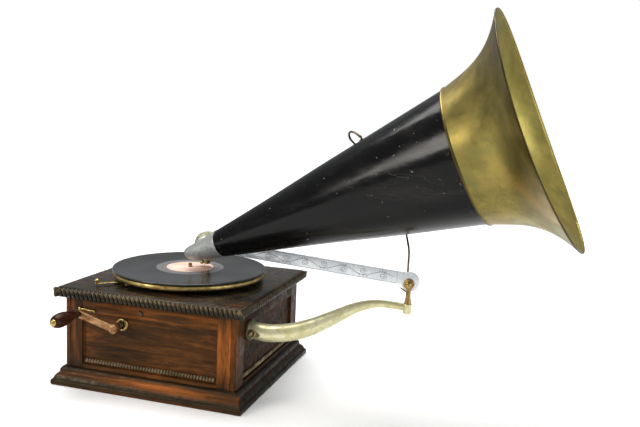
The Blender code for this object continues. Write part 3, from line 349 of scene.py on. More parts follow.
def make_grain() -> bpy.types.NodeTree:
    """The group for wood grain on coordinates that are already drawn out along it.

    Returns:
        A group with inputs Vector and Scale and outputs Tone and Pores.
    """
    graph, given, made = new_group("grain", (("Vector", "NodeSocketVector", 0.0),
        ("Scale", "NodeSocketFloat", 90.0)), ("Tone", "Pores"))
    broad = graph.noise(given.outputs["Vector"], given.outputs["Scale"], 5.0, 0.6, 0.8)
    fine = graph.noise(given.outputs["Vector"], graph.times(given.outputs["Scale"], 6.0), 3.0, 0.7)
    both = graph.sum("ADD", graph.times(broad, 0.65), graph.times(fine, 0.35))
    graph.put(made.inputs["Tone"], graph.fade(both, 0.38, 0.64))
    graph.put(made.inputs["Pores"], graph.fade(fine, 0.36, 0.5))
    return graph.tree


def make_scratches() -> bpy.types.NodeTree:
    """The group for fine scratches: thin lines where a drawn-out noise crosses its middle.

    Returns:
        A group with inputs Vector, Scale and Width and output Mask.
    """
    graph, given, made = new_group("scratches", (("Vector", "NodeSocketVector", 0.0),
        ("Scale", "NodeSocketFloat", 60.0), ("Width", "NodeSocketFloat", 0.006)), ("Mask",))
    long_way = graph.stretch(given.outputs["Vector"], (0.14, 1.0, 1.0), (0.5, 0.9, 0.4))
    lines = graph.noise(long_way, given.outputs["Scale"], 2.0, 0.5, 0.3)
    away = graph.sum("ABSOLUTE", graph.sum("SUBTRACT", lines, 0.5))
    where = graph.noise(given.outputs["Vector"], graph.times(given.outputs["Scale"], 0.35), 2.0)
    thin = graph.fade(away, 0.0, given.outputs["Width"], 1.0, 0.0)
    graph.put(made.inputs["Mask"], graph.times(thin, graph.fade(where, 0.52, 0.62)))
    return graph.tree


PATCHES = make_patches()
GRAIN = make_grain()
SCRATCHES = make_scratches()
MADE: dict[str, bpy.types.Material] = {}


def start_material(name: str) -> tuple[bpy.types.Material, Graph, bpy.types.Node]:
    """Start a material on its Principled shader.

    Args:
        name: the material's name.

    Returns:
        The material, its graph and its shader.
    """
    material = bpy.data.materials.new(name)
    material.use_nodes = True
    graph = Graph(material.node_tree)
    return material, graph, material.node_tree.nodes["Principled BSDF"]


# ------------------------------------------------------------------ finishes


class Finish:
    """A surface finish that is made into a material once."""

    name: str

    def material(self) -> bpy.types.Material:
        """The finish's material, made the first time it is asked for.

        Returns:
            The material.
        """
        if self.name not in MADE:
            MADE[self.name] = self.make()
        return MADE[self.name]

    def make(self) -> bpy.types.Material:
        """Build the material. Each finish has its own way."""
        raise NotImplementedError(self.name)


@dataclass(frozen=True)
class StainedWood(Finish):
    """Dark stained wood, rubbed through to a warm colour where its piece is marked as worn; on some pieces
    the mark is a painted highlight.
    """

    name: str
    dark: Colour = (0.0085, 0.0066, 0.0036)
    brown: Colour = (0.062, 0.027, 0.0085)
    warm: Colour = (0.44, 0.125, 0.020)
    grain: Axis = Axis.X
    rubbed: float = 0.5
    grime: float = 0.75
    gloss: float = 0.34
    polish: float = 0.0
    grain_scale: float = 150.0
    shine: float = 0.18

    def make(self) -> bpy.types.Material:
        """Grain, dark stain, rubbed patches and a thin coat of old polish.

        Returns:
            The material.
        """
        material, graph, shader = start_material(self.name)
        place = graph.place()
        along = graph.stretch(place, self.grain.value)
        grain = graph.group(GRAIN, Vector=along, Scale=self.grain_scale)
        colour = graph.mix(grain.outputs["Tone"], self.dark, self.brown)
        worn = wear_and_highlight_share(graph)
        streaks = patches(graph, graph.stretch(place, tuple(0.3 + 0.7 * s for s in self.grain.value)), 34.0,
            0.47, 0.66)
        broad = patches(graph, place, 11.0, 0.40, 0.62)
        rubbed = graph.times(graph.times(streaks, broad), self.rubbed)
        # Marked spots turn warm: wear on posts and sides, a painted highlight on the rope edge and the
        # plinth's shoulders.
        worn_and_lit_spots = graph.times(worn, graph.fade(graph.noise(along, 70.0, 5.0, 0.65), 0.30, 0.62, 0.25, 1.0))
        share = graph.sum("MAXIMUM", rubbed, worn_and_lit_spots)
        share = graph.times(share, graph.fade(grain.outputs["Tone"], 0.0, 1.0, 0.55, 1.0))
        colour = graph.mix(share, colour, self.warm)
        grime = patches(graph, along, 60.0, 0.47, 0.62)
        colour = graph.mix(graph.times(grime, self.grime), colour, self.dark)
        rough = graph.fade(graph.noise(place, 120.0, 4.0), 0.3, 0.7, self.gloss - 0.06, self.gloss + 0.22)
        shader.inputs["Coat Weight"].default_value = self.polish
        shader.inputs["Coat Roughness"].default_value = 0.22
        shader.inputs["Coat Tint"].default_value = (1.0, 0.88, 0.70, 1.0)
        shader.inputs["Specular IOR Level"].default_value = self.shine
        shader.inputs["Specular Tint"].default_value = (1.0, 0.84, 0.62, 1.0)
        normal = graph.bump(grain.outputs["Pores"], 0.10, 0.5)
        cover(graph, shader, colour, rough, graph.bump(graph.noise(place, 38.0, 2.0), 0.3, 0.2, normal))
        return material


@dataclass(frozen=True)
class OldMetal(Finish):
    """Plated, brass or steel metal with tarnish in patches and fine scratches."""

    name: str
    bright: Colour
    dull: Colour
    stain: Colour
    smooth: float = 0.22
    rough: float = 0.42
    patch_scale: float = 45.0
    stained: float = 0.5
    scratch: float = 0.35
    dents_mm: float = 0.08
    metallic: float = 1.0

    def make(self) -> bpy.types.Material:
        """Bright and dull metal in clouds, stains in islands, scratches across both.

        Returns:
            The material.
        """
        material, graph, shader = start_material(self.name)
        place = graph.place()
        cloud = graph.fade(graph.noise(place, self.patch_scale, 6.0, 0.6, 0.5), 0.34, 0.66)
        colour = graph.mix(cloud, self.bright, self.dull)
        islands = patches(graph, place, self.patch_scale * 2.2, 0.52, 0.68)
        share = graph.times(islands, self.stained)
        colour = graph.mix(share, colour, self.stain)
        lines = scratches(graph, place, self.patch_scale * 3.0, 0.012)
        colour = graph.mix(graph.times(lines, self.scratch), colour, self.bright)
        rough = graph.sum("ADD", graph.fade(cloud, 0.0, 1.0, self.smooth, self.rough),
            graph.times(share, 0.22))
        shader.inputs["Metallic"].default_value = self.metallic
        dents = graph.noise(place, self.patch_scale * 1.4, 2.0)
        normal = graph.bump(dents, self.dents_mm * 2.0, 0.4)
        normal = graph.bump(graph.noise(place, 900.0, 2.0), self.dents_mm * 0.3, 0.5, normal)
        cover(graph, shader, colour, rough, normal)
        return material


@dataclass(frozen=True)
class BlackJapan(Finish):
    """Black lacquer on sheet metal, chipped, scratched and rubbed grey along its ends."""

    name: str
    black: Colour = (0.0030, 0.0030, 0.0032)
    rubbed: Colour = (0.014, 0.012, 0.010)
    chip: Colour = (0.42, 0.38, 0.28)

    def make(self) -> bpy.types.Material:
        """Deep gloss with runs in it, dull rubbed clouds, and small pale chips.

        Returns:
            The material.
        """
        material, graph, shader = start_material(self.name)
        place = graph.place()
        along = graph.stretch(place, (0.22, 1.0, 1.0), (0.0, HORN_RISE, 0.0))
        dulled = patches(graph, along, 26.0, 0.50, 0.74)
        colour = graph.mix(dulled, self.black, self.rubbed)
        marks = scratches(graph, along, 55.0, 0.004)
        colour = graph.mix(graph.times(marks, 0.35), colour, (0.13, 0.12, 0.10))
        chips = patches(graph, along, 210.0, 0.675, 0.70)
        near = patches(graph, place, 14.0, 0.50, 0.60)
        worn = wear_and_highlight_share(graph)
        ragged = patches(graph, place, 160.0, 0.60, 0.66)
        edge = graph.times(worn, graph.times(ragged, 0.6))
        share = graph.sum("MAXIMUM", graph.times(chips, near), edge)
        colour = graph.mix(share, colour, self.chip)
        rough = graph.fade(graph.noise(along, 60.0, 5.0, 0.6), 0.3, 0.7, 0.14, 0.25)
        rough = graph.sum("ADD", rough, graph.times(share, 0.3))
        shader.inputs["Specular IOR Level"].default_value = 0.2
        runs = graph.bump(graph.noise(along, 36.0, 3.0, 0.55, 0.3), 0.8, 0.45)
        cover(graph, shader, colour, rough, graph.bump(share, -0.12, 0.8, runs))
        return material


@dataclass(frozen=True)
class SpunBrass(Finish):
    """Brass sheet spun on a lathe, tarnished in green and amber clouds."""

    name: str
    gold: Colour = (0.37, 0.285, 0.080)
    olive: Colour = (0.175, 0.145, 0.042)
    green: Colour = (0.145, 0.150, 0.055)
    amber: Colour = (0.36, 0.180, 0.030)
    metallic: float = 1.0

    def make(self) -> bpy.types.Material:
        """Clouds of tarnish over faint turning lines.

        Returns:
            The material.
        """
        material, graph, shader = start_material(self.name)
        place = graph.place()
        cloud = graph.fade(graph.noise(place, 9.0, 6.0, 0.6, 0.7), 0.34, 0.64)
        colour = graph.mix(cloud, self.gold, self.olive)
        greens = patches(graph, place, 16.0, 0.46, 0.70)
        colour = graph.mix(graph.times(greens, 0.65), colour, self.green)
        ambers = patches(graph, graph.stretch(place, (1.0, 1.0, 1.0), (1.0, 0.4, 0.2)), 12.0, 0.50, 0.72)
        colour = graph.mix(graph.times(ambers, 0.7), colour, self.amber)
        mottle = patches(graph, place, 48.0, 0.48, 0.64)
        colour = graph.mix(graph.times(mottle, 0.4), colour, self.olive)
        specks = patches(graph, place, 260.0, 0.64, 0.72)
        colour = graph.mix(graph.times(specks, 0.55), colour, (0.06, 0.045, 0.015))
        worn = wear_and_highlight_share(graph)
        colour = graph.mix(graph.times(worn, 0.8), colour, (0.045, 0.035, 0.017))
        rough = graph.fade(graph.noise(place, 30.0, 6.0, 0.6), 0.3, 0.7, 0.30, 0.46)
        shader.inputs["Metallic"].default_value = self.metallic
        turned = graph.stretch(place, (1.0, 0.02, 0.02), (0.0, HORN_RISE, 0.0))
        normal = graph.bump(graph.noise(turned, 500.0, 2.0), 0.05, 0.6)
        cover(graph, shader, colour, rough, graph.bump(graph.noise(place, 12.0, 1.0), 1.2, 0.12, normal))
        return material


@dataclass(frozen=True)
class GroovedShellac(Finish):
    """A grooved disc, dusty, with a plainer band round its label."""

    name: str
    dark: Colour = (0.016, 0.016, 0.016)
    dusty: Colour = (0.034, 0.034, 0.033)
    plain: Colour = (0.20, 0.19, 0.19)
    plain_r: float = 56.0

    def make(self) -> bpy.types.Material:
        """Rings by distance from the disc's middle.

        Returns:
            The material.
        """
        material, graph, shader = start_material(self.name)
        place = graph.place()
        radius = disc_radius(graph, place)
        rings = graph.add("ShaderNodeCombineXYZ")
        graph.put(rings.inputs["X"], radius)
        bands = graph.noise(rings.outputs[0], 240.0, 3.0, 0.6)
        dust = graph.noise(place, 22.0, 5.0)
        tone = graph.sum("ADD", graph.times(bands, 0.5), graph.times(dust, 0.5))
        colour = graph.mix(graph.fade(tone, 0.38, 0.62), self.dark, self.dusty)
        inside = graph.fade(radius, (self.plain_r - 0.6) * MM, (self.plain_r + 0.6) * MM, 1.0, 0.0)
        wax = graph.mix(graph.fade(bands, 0.3, 0.7), self.plain, tuple(0.72 * c for c in self.plain))
        colour = graph.mix(inside, colour, wax)
        grooves = graph.noise(rings.outputs[0], 1500.0, 1.0)
        shallow = graph.times(grooves, graph.sum("SUBTRACT", 1.0, graph.times(inside, 0.8)))
        cover(graph, shader, colour, graph.fade(dust, 0.3, 0.7, 0.12, 0.21), graph.bump(shallow, 0.06, 0.5))
        return material


@dataclass(frozen=True)
class FadedPaper(Finish):
    """The disc's plain paper label, faded and thumbed, with two printed rings."""

    name: str
    paper: Colour = (0.76, 0.47, 0.36)
    faded: Colour = (0.82, 0.62, 0.52)
    ink: Colour = (0.42, 0.20, 0.16)

    def make(self) -> bpy.types.Material:
        """Faded clouds and rings by distance from the middle.

        Returns:
            The material.
        """
        material, graph, shader = start_material(self.name)
        place = graph.place()
        radius = disc_radius(graph, place)
        colour = graph.mix(graph.fade(graph.noise(place, 45.0, 5.0), 0.35, 0.65), self.paper, self.faded)
        for ring in (35.5, 11.0):
            away = graph.sum("ABSOLUTE", graph.sum("SUBTRACT", radius, ring * MM))
            line = graph.fade(away, 0.25 * MM, 0.55 * MM, 0.55, 0.0)
            colour = graph.mix(line, colour, self.ink)
        rough = graph.fade(graph.noise(place, 300.0), 0.3, 0.7, 0.5, 0.72)
        cover(graph, shader, colour, rough, graph.bump(graph.noise(place, 1400.0, 3.0), 0.03, 0.6))
        return material


@dataclass(frozen=True)
class SoftStuff(Finish):
    """Felt, leather or mica: a soft two-tone surface with a fine texture."""

    name: str
    first: Colour
    second: Colour
    roughness: float = 0.85
    fine: float = 1500.0
    depth_mm: float = 0.15
    sheen: float = 0.0

    def make(self) -> bpy.types.Material:
        """Two tones in clouds, and a fine texture.

        Returns:
            The material.
        """
        material, graph, shader = start_material(self.name)
        place = graph.place()
        tone = graph.fade(graph.noise(place, self.fine * 0.2, 5.0, 0.65), 0.35, 0.65)
        rough = graph.fade(tone, 0.0, 1.0, self.roughness - 0.05, self.roughness + 0.05)
        shader.inputs["Sheen Weight"].default_value = self.sheen
        normal = graph.bump(graph.noise(place, self.fine, 4.0, 0.7), self.depth_mm, 0.7)
        cover(graph, shader, graph.mix(tone, self.first, self.second), rough, normal)
        return material


class Finishes:
    """Every finish on the phonograph."""

    wood_x = StainedWood("wood_along_x", dark=(0.0095, 0.0062, 0.0026), brown=(0.052, 0.022, 0.0055),
        rubbed=0.40, grime=0.65, grain_scale=130.0, shine=0.14)
    # Darker copy for the ±X sides: partly the wood's own tone, partly painted shade for the dark +X side.
    side_wood_with_shade = StainedWood("wood_along_y_with_shade", dark=(0.005, 0.004, 0.0025), grain=Axis.Y, rubbed=0.02,
        brown=(0.016, 0.011, 0.005), gloss=0.46, grain_scale=60.0, shine=0.06)
    wood_z = StainedWood("wood_upright", brown=(0.046, 0.019, 0.0055), grain=Axis.Z, rubbed=0.32, grime=0.75,
        grain_scale=110.0, shine=0.14)
    plinth_wood = StainedWood("plinth_wood", rubbed=0.03, brown=(0.040, 0.021, 0.008), grime=0.65,
        grain_scale=110.0)
    # Darker copy for the plinth's ±X ends: partly the wood's own tone, partly painted shade.
    plinth_side_wood_with_shade = StainedWood("plinth_side_wood_with_shade", dark=(0.005, 0.004, 0.0025), grain=Axis.Y, rubbed=0.01,
        brown=(0.015, 0.011, 0.006), grain_scale=90.0, shine=0.14)
    # Lighter tan wood for the round beads: partly their own rubbed colour, partly a painted highlight on
    # them.
    bead_wood_with_highlight = StainedWood("bead_wood_with_highlight", dark=(0.060, 0.048, 0.028), brown=(0.24, 0.19, 0.11),
        warm=(0.46, 0.37, 0.23), rubbed=0.8, grime=0.15, gloss=0.26, polish=0.3)
    top_wood = StainedWood("top_wood", dark=(0.010, 0.009, 0.007), brown=(0.040, 0.026, 0.015),
        warm=(0.17, 0.060, 0.020), rubbed=0.40, gloss=0.16, polish=0.14, grain_scale=70.0)
    # The rope edge's warm colour shows mostly as a painted highlight on its lobes.
    rope_wood_with_glints = StainedWood("rope_wood_with_glints", dark=(0.005, 0.004, 0.0025), brown=(0.022, 0.016, 0.008),
        warm=(0.34, 0.25, 0.12), rubbed=0.1, grime=0.45, gloss=0.20, polish=0.25)
    handle_wood = StainedWood("handle_wood", dark=(0.012, 0.004, 0.002), brown=(0.050, 0.013, 0.006),
        warm=(0.14, 0.045, 0.02), grain=Axis.Y, gloss=0.22, rubbed=0.35, grain_scale=240.0)
    horn_black = BlackJapan("horn_black")
    bell_brass = SpunBrass("bell_brass")
    # A lighter, less metallic copy of the bell brass for its inner face: painted light for the bright inside
    # of the mouth.
    bell_inside_painted_light = SpunBrass("bell_inside_painted_light", (0.46, 0.365, 0.080), (0.27, 0.22, 0.045), (0.22, 0.215, 0.047),
        (0.38, 0.23, 0.040), 0.6)
    rim_brass = OldMetal("rim_brass", (0.56, 0.44, 0.18), (0.34, 0.23, 0.075), (0.12, 0.07, 0.03), 0.32, 0.5,
        60.0, 0.7)
    fitting_brass = OldMetal("fitting_brass", (0.56, 0.42, 0.15), (0.30, 0.20, 0.06), (0.08, 0.05, 0.02), 0.2,
        0.4, 120.0)
    motor_brass = OldMetal("motor_brass", (0.60, 0.45, 0.16), (0.42, 0.30, 0.09), (0.12, 0.08, 0.03), 0.18,
        0.3, 60.0, 0.2)
    brown_plate = OldMetal("brown_plate", (0.42, 0.235, 0.115), (0.25, 0.115, 0.045), (0.09, 0.04, 0.02),
        0.35, 0.55, 90.0, 0.5, metallic=0.85)
    yoke_brass = OldMetal("yoke_brass", (0.46, 0.31, 0.11), (0.30, 0.18, 0.07), (0.10, 0.06, 0.03), 0.3, 0.5,
        130.0, 0.6)
    arm_nickel = OldMetal("arm_nickel", (0.86, 0.82, 0.53), (0.70, 0.65, 0.34), (0.36, 0.21, 0.07), 0.34,
        0.46, 42.0, 0.35, dents_mm=0.02, metallic=0.6)
    # Near-white and barely metallic: a painted reflection of the white surround on the nickel bar.
    bar_nickel_painted_reflection = OldMetal("bar_nickel_painted_reflection", (0.86, 0.88, 0.90), (0.74, 0.78, 0.83), (0.48, 0.50, 0.52), 0.22,
        0.34, 30.0, 0.3, dents_mm=0.01, metallic=0.35)
    cut_line = OldMetal("cut_line", (0.30, 0.33, 0.37), (0.22, 0.25, 0.29), (0.12, 0.12, 0.13), 0.4, 0.6,
        90.0, 0.3, metallic=0.4)
    box_nickel = OldMetal("box_nickel", (0.40, 0.41, 0.29), (0.30, 0.31, 0.21), (0.16, 0.15, 0.09), 0.45, 0.6,
        90.0, 0.5, metallic=0.45)
    pot_metal = OldMetal("pot_metal", (0.46, 0.48, 0.47), (0.34, 0.36, 0.35), (0.22, 0.23, 0.22), 0.45, 0.62,
        70.0, 0.4, dents_mm=0.12, metallic=0.75)
    flange_metal = OldMetal("flange_metal", (0.20, 0.19, 0.12), (0.11, 0.105, 0.065), (0.05, 0.045, 0.03),
        0.4, 0.6, 90.0, 0.5, metallic=0.7)
    screw_brass = OldMetal("screw_brass", (0.34, 0.26, 0.12), (0.20, 0.14, 0.06), (0.07, 0.05, 0.03), 0.35,
        0.5, 150.0, 0.6)
    drawn_wire = OldMetal("drawn_wire", (0.16, 0.12, 0.07), (0.09, 0.065, 0.035), (0.03, 0.02, 0.01), 0.35,
        0.5, 90.0)
    pin_steel = OldMetal("pin_steel", (0.34, 0.27, 0.15), (0.20, 0.155, 0.08), (0.05, 0.03, 0.02), 0.3, 0.45,
        80.0, 0.3)
    steel = OldMetal("old_steel", (0.50, 0.50, 0.51), (0.34, 0.34, 0.35), (0.12, 0.08, 0.05), 0.28, 0.42,
        80.0, 0.3)
    spring_steel = OldMetal("spring_steel", (0.18, 0.21, 0.29), (0.10, 0.12, 0.18), (0.05, 0.05, 0.06), 0.2,
        0.35, 90.0)
    casting = OldMetal("painted_casting", (0.050, 0.052, 0.056), (0.028, 0.030, 0.032), (0.10, 0.06, 0.03),
        0.45, 0.6, 70.0, 0.3, dents_mm=0.2, metallic=0.2)
    shellac = GroovedShellac("grooved_shellac")
    paper = FadedPaper("faded_paper")
    felt = SoftStuff("turntable_felt", (0.035, 0.055, 0.030), (0.055, 0.080, 0.045), 0.92, 2600.0, 0.2, 0.4)
    leather = SoftStuff("brake_leather", (0.11, 0.055, 0.028), (0.17, 0.090, 0.045), 0.75, 1200.0)
    mica = SoftStuff("mica_sheet", (0.27, 0.27, 0.17), (0.36, 0.36, 0.24), 0.45, 150.0, 0.02)


# ------------------------------------------------------------------ shapes


def aim(point: Sequence[float], direction: Sequence[float]) -> Matrix:
    """A placement with Z along a direction.

    Args:
        point: where its origin goes.
        direction: where its Z points.

    Returns:
        The matrix.
    """
    turn = Vector(direction).normalized().to_track_quat("Z", "Y")
    return Matrix.Translation(point) @ turn.to_matrix().to_4x4()


def smooth_line(points: Sequence[Sequence[float]], per_span: int = 6) -> list[Vector]:
    """Points on a smooth curve that passes through the given ones.

    Args:
        points: the points to pass through.
        per_span: steps between two of them.

    Returns:
        The points of the curve.
    """
    known = [Vector(p) for p in points]
    padded = [known[0] * 2 - known[1], *known, known[-1] * 2 - known[-2]]
    route = []
    for i in range(1, len(padded) - 2):
        a, b, c, d = padded[i - 1:i + 3]
        for k in range(per_span):
            t = k / per_span
            route.append(0.5 * ((2 * b) + (c - a) * t + (2 * a - 5 * b + 4 * c - d) * t * t + (
                3 * b - a - 3 * c + d) * t ** 3))
    route.append(padded[-2])
    return route


class Shape:
    """A millimetre bmesh that is being put together."""

    def __init__(self) -> None:
        """Start with nothing."""
        self.bm = bmesh.new()

    def box(self, low: Sequence[float], high: Sequence[float], ease: float = 0.0, steps: int = 2,
            matrix: Matrix | None = None) -> "Shape":
        """Add a block with eased edges.

        Args:
            low: its lowest corner.
            high: its highest corner.
            ease: width of the bevel.
            steps: segments of the bevel.
            matrix: a placement.

        Returns:
            This shape.
        """
        size = [b - a for a, b in zip(low, high)]
        middle = [(a + b) / 2 for a, b in zip(low, high)]
        place = (matrix or Matrix.Identity(4)) @ Matrix.Translation(middle) @ Matrix.Diagonal((*size, 1.0))
        verts = bmesh.ops.create_cube(self.bm, size=1.0, matrix=place)["verts"]
        if ease:
            edges = {e for v in verts for e in v.link_edges}
            bmesh.ops.bevel(self.bm, geom=list(edges), offset=ease, segments=steps, profile=0.5, material=-1,
                affect="EDGES")
        return self

    def turn(self, outline: Sequence[Point2], segments: int = 48, matrix: Matrix | None = None) -> "Shape":
        """Spin a closed outline of (radius, height) points about Z.

        Args:
            outline: the points.
            segments: steps round the axis.
            matrix: a placement.

        Returns:
            This shape.
        """
        own = bmesh.new()
        verts = [own.verts.new((r, 0.0, z)) for r, z in outline]
        edges = [own.edges.new(pair) for pair in zip(verts, verts[1:] + verts[:1]) if pair[0].co.x > 0.0
            or pair[1].co.x > 0.0]
        bmesh.ops.spin(own, geom=verts + edges, cent=(0, 0, 0), axis=(0, 0, 1), angle=2 * pi, steps=segments,
            use_merge=True)
        bmesh.ops.remove_doubles(own, verts=own.verts, dist=MERGE)
        if matrix is not None:
            own.transform(matrix)
        return self.take(own)

    def take(self, other: bmesh.types.BMesh) -> "Shape":
        """Add all of another bmesh.

        Args:
            other: the bmesh, which is used up.

        Returns:
            This shape.
        """
        spare = bpy.data.meshes.new("spare")
        other.to_mesh(spare)
        other.free()
        self.bm.from_mesh(spare)
        bpy.data.meshes.remove(spare)
        return self

    def slab(self, outline: Sequence[Point2], low: float, high: float, ease: float = 0.0,
            matrix: Matrix | None = None) -> "Shape":
        """Add a flat plate with eased edges.

        Args:
            outline: its corners in XY.
            low: height of one face.
            high: height of the other.
            ease: width of the bevel along both faces.
            matrix: a placement.

        Returns:
            This shape.
        """
        own = bmesh.new()
        face = own.faces.new([own.verts.new((x, y, low)) for x, y in outline])
        made = bmesh.ops.extrude_face_region(own, geom=[face])["geom"]
        raised = [v for v in made if isinstance(v, bmesh.types.BMVert)]
        bmesh.ops.translate(own, vec=(0.0, 0.0, high - low), verts=raised)
        if ease:
            rims = [e for e in own.edges if abs(e.verts[0].co.z - e.verts[1].co.z) < MERGE]
            bmesh.ops.bevel(own, geom=rims, offset=ease, segments=2, profile=0.5, material=-1, affect="EDGES",
                clamp_overlap=True)
        if matrix is not None:
            own.transform(matrix)
        return self.take(own)

    def frame(self, levels: Sequence[tuple[float, float, float]]) -> "Shape":
        """Add a mitred rectangular frame.

        Args:
            levels: (half x, half y, z) of each line of its section, in a closed chain.

        Returns:
            This shape.
        """
        own = bmesh.new()
        rings = []
        for half_x, half_y, z in levels:
            place = (Matrix.Translation((0, 0, z)) @ Matrix.Diagonal((half_x, half_y, 1, 1))
                @ Matrix.Rotation(pi / 4, 4, "Z"))
            made = bmesh.ops.create_circle(own, segments=4, radius=sqrt(2), matrix=place)["verts"]
            rings.append([e for e in own.edges if e.verts[0] in made and e.verts[1] in made])
        for here, there in zip(rings, rings[1:] + rings[:1]):
            bmesh.ops.bridge_loops(own, edges=here + there)
        return self.take(own)

    def rod(self, route: Sequence[Sequence[float]], radii: Sequence[float] | float,
            sides: int = 4) -> "Shape":
        """Add a round bar along a route.

        Args:
            route: points of its centre line.
            radii: its radius at each point, or everywhere.
            sides: resolution of its section.

        Returns:
            This shape.
        """
        curve = bpy.data.curves.new("route", "CURVE")
        curve.dimensions = "3D"
        curve.bevel_depth = 1.0
        curve.bevel_resolution = sides
        curve.use_fill_caps = True
        spline = curve.splines.new("POLY")
        spline.points.add(len(route) - 1)
        sizes = [radii] * len(route) if isinstance(radii, (int, float)) else radii
        for point, place, size in zip(spline.points, route, sizes):
            point.co = (*place, 1.0)
            point.radius = size
        guide = bpy.data.objects.new("route", curve)
        bpy.context.collection.objects.link(guide)
        bpy.context.view_layer.update()
        solid = bpy.data.meshes.new_from_object(guide)
        bpy.data.objects.remove(guide, do_unlink=True)
        self.bm.from_mesh(solid)
        bpy.data.meshes.remove(solid)
        return self

    def loft(self, stations: Sequence[tuple[Vector, Vector, float]], segments: int = 40) -> "Shape":
        """Add a solid with round sections.

        Args:
            stations: (centre, direction, radius) of each section.
            segments: sides of a section.

        Returns:
            This shape.
        """
        own = bmesh.new()
        chain = [aim(centre, heading) @ Matrix.Diagonal((radius, radius, radius, 1.0)) for centre, heading,
            radius in stations]
        bmesh.ops.create_circle(own, segments=segments, radius=1.0, cap_ends=True, matrix=chain[0])
        ring = own.edges[:]
        for here, there in zip(chain, chain[1:]):
            grown = bmesh.ops.extrude_edge_only(own, edges=ring)["geom"]
            verts = [v for v in grown if isinstance(v, bmesh.types.BMVert)]
            ring = [e for e in grown if isinstance(e, bmesh.types.BMEdge) and set(e.verts) <= set(verts)]
            bmesh.ops.transform(own, matrix=there @ here.inverted(), verts=verts)
        bmesh.ops.contextual_create(own, geom=ring)
        return self.take(own)

    def bead(self, matrix: Matrix, around: int = 8, down: int = 6) -> "Shape":
        """Add a small ball, stretched and placed by a matrix.

        Args:
            matrix: its placement and half sizes.
            around: steps round it.
            down: steps from pole to pole.

        Returns:
            This shape.
        """
        bmesh.ops.create_uvsphere(self.bm, u_segments=around, v_segments=down, radius=1.0, matrix=matrix)
        return self

    def move(self, matrix: Matrix) -> "Shape":
        """Move everything that is in the shape so far."""
        self.bm.transform(matrix)
        return self

    def piece(self, name: str, finish: Finish, body: str, stands_for: Sequence[str] = (), slot: str = "",
            crease: float = 38.0, worn: Callable[[Vector], float] | None = None,
            second: Finish | None = None) -> bpy.types.Object:
        """Finish the shape as a piece that rides on a body.

        Args:
            name: the piece's name.
            finish: what it is made of.
            body: the body it rides on.
            stands_for: CAD nodes it takes the place of.
            slot: the record's material slot; not used.
            crease: angle past which an edge stays sharp, in degrees.
            worn: how worn the surface is at a point in millimetres, from 0 to 1; on some pieces a painted
                highlight.
            second: the finish of the faces with material index 1.

        Returns:
            The finished object.
        """
        bmesh.ops.remove_doubles(self.bm, verts=self.bm.verts, dist=MERGE)
        bmesh.ops.recalc_face_normals(self.bm, faces=self.bm.faces)
        rubbed = [worn(v.co) for v in self.bm.verts] if worn else []
        bmesh.ops.scale(self.bm, vec=(MM, MM, MM), verts=self.bm.verts)
        mesh = bpy.data.meshes.new(name)
        self.bm.to_mesh(mesh)
        self.bm.free()
        mesh.shade_smooth()
        mesh.set_sharp_from_angle(angle=radians(crease))
        # The worn attribute holds wear, and on some pieces a painted highlight.
        if rubbed:
            mesh.attributes.new("worn", "FLOAT", "POINT").data.foreach_set("value", rubbed)
        mesh.materials.append(finish.material())
        if second:
            mesh.materials.append(second.material())
        obj = bpy.data.objects.new(name, mesh)
        bpy.context.scene.collection.objects.link(obj)
        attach(obj, body)
        if stands_for:
            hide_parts(*stands_for)
        LOG.info("%s: %d faces on %s", name, len(mesh.polygons), body)
        return obj


def capsule(start: Point2, end: Point2, width: float, steps: int = 16) -> list[Point2]:
    """Outline of a bar with round ends.

    Args:
        start: middle of one end.
        end: middle of the other.
        width: its width.
        steps: steps round each end.

    Returns:
        The outline's points.
    """
    heading = atan2(end[1] - start[1], end[0] - start[0])
    points = []
    for centre, first in ((end, heading - pi / 2), (start, heading + pi / 2)):
        for i in range(steps + 1):
            angle = first + pi * i / steps
            points.append((centre[0] + width / 2 * cos(angle), centre[1] + width / 2 * sin(angle)))
    return points


def dress(nodes: dict[str, Finish]) -> None:
    """Give CAD nodes that stay on show their finishes.

    Args:
        nodes: finish by node name.
    """
    for name, finish in nodes.items():
        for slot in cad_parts[name].material_slots:
            slot.material = finish.material()
        LOG.info("%s: %s", name, finish.name)


# ------------------------------------------------------------------ case


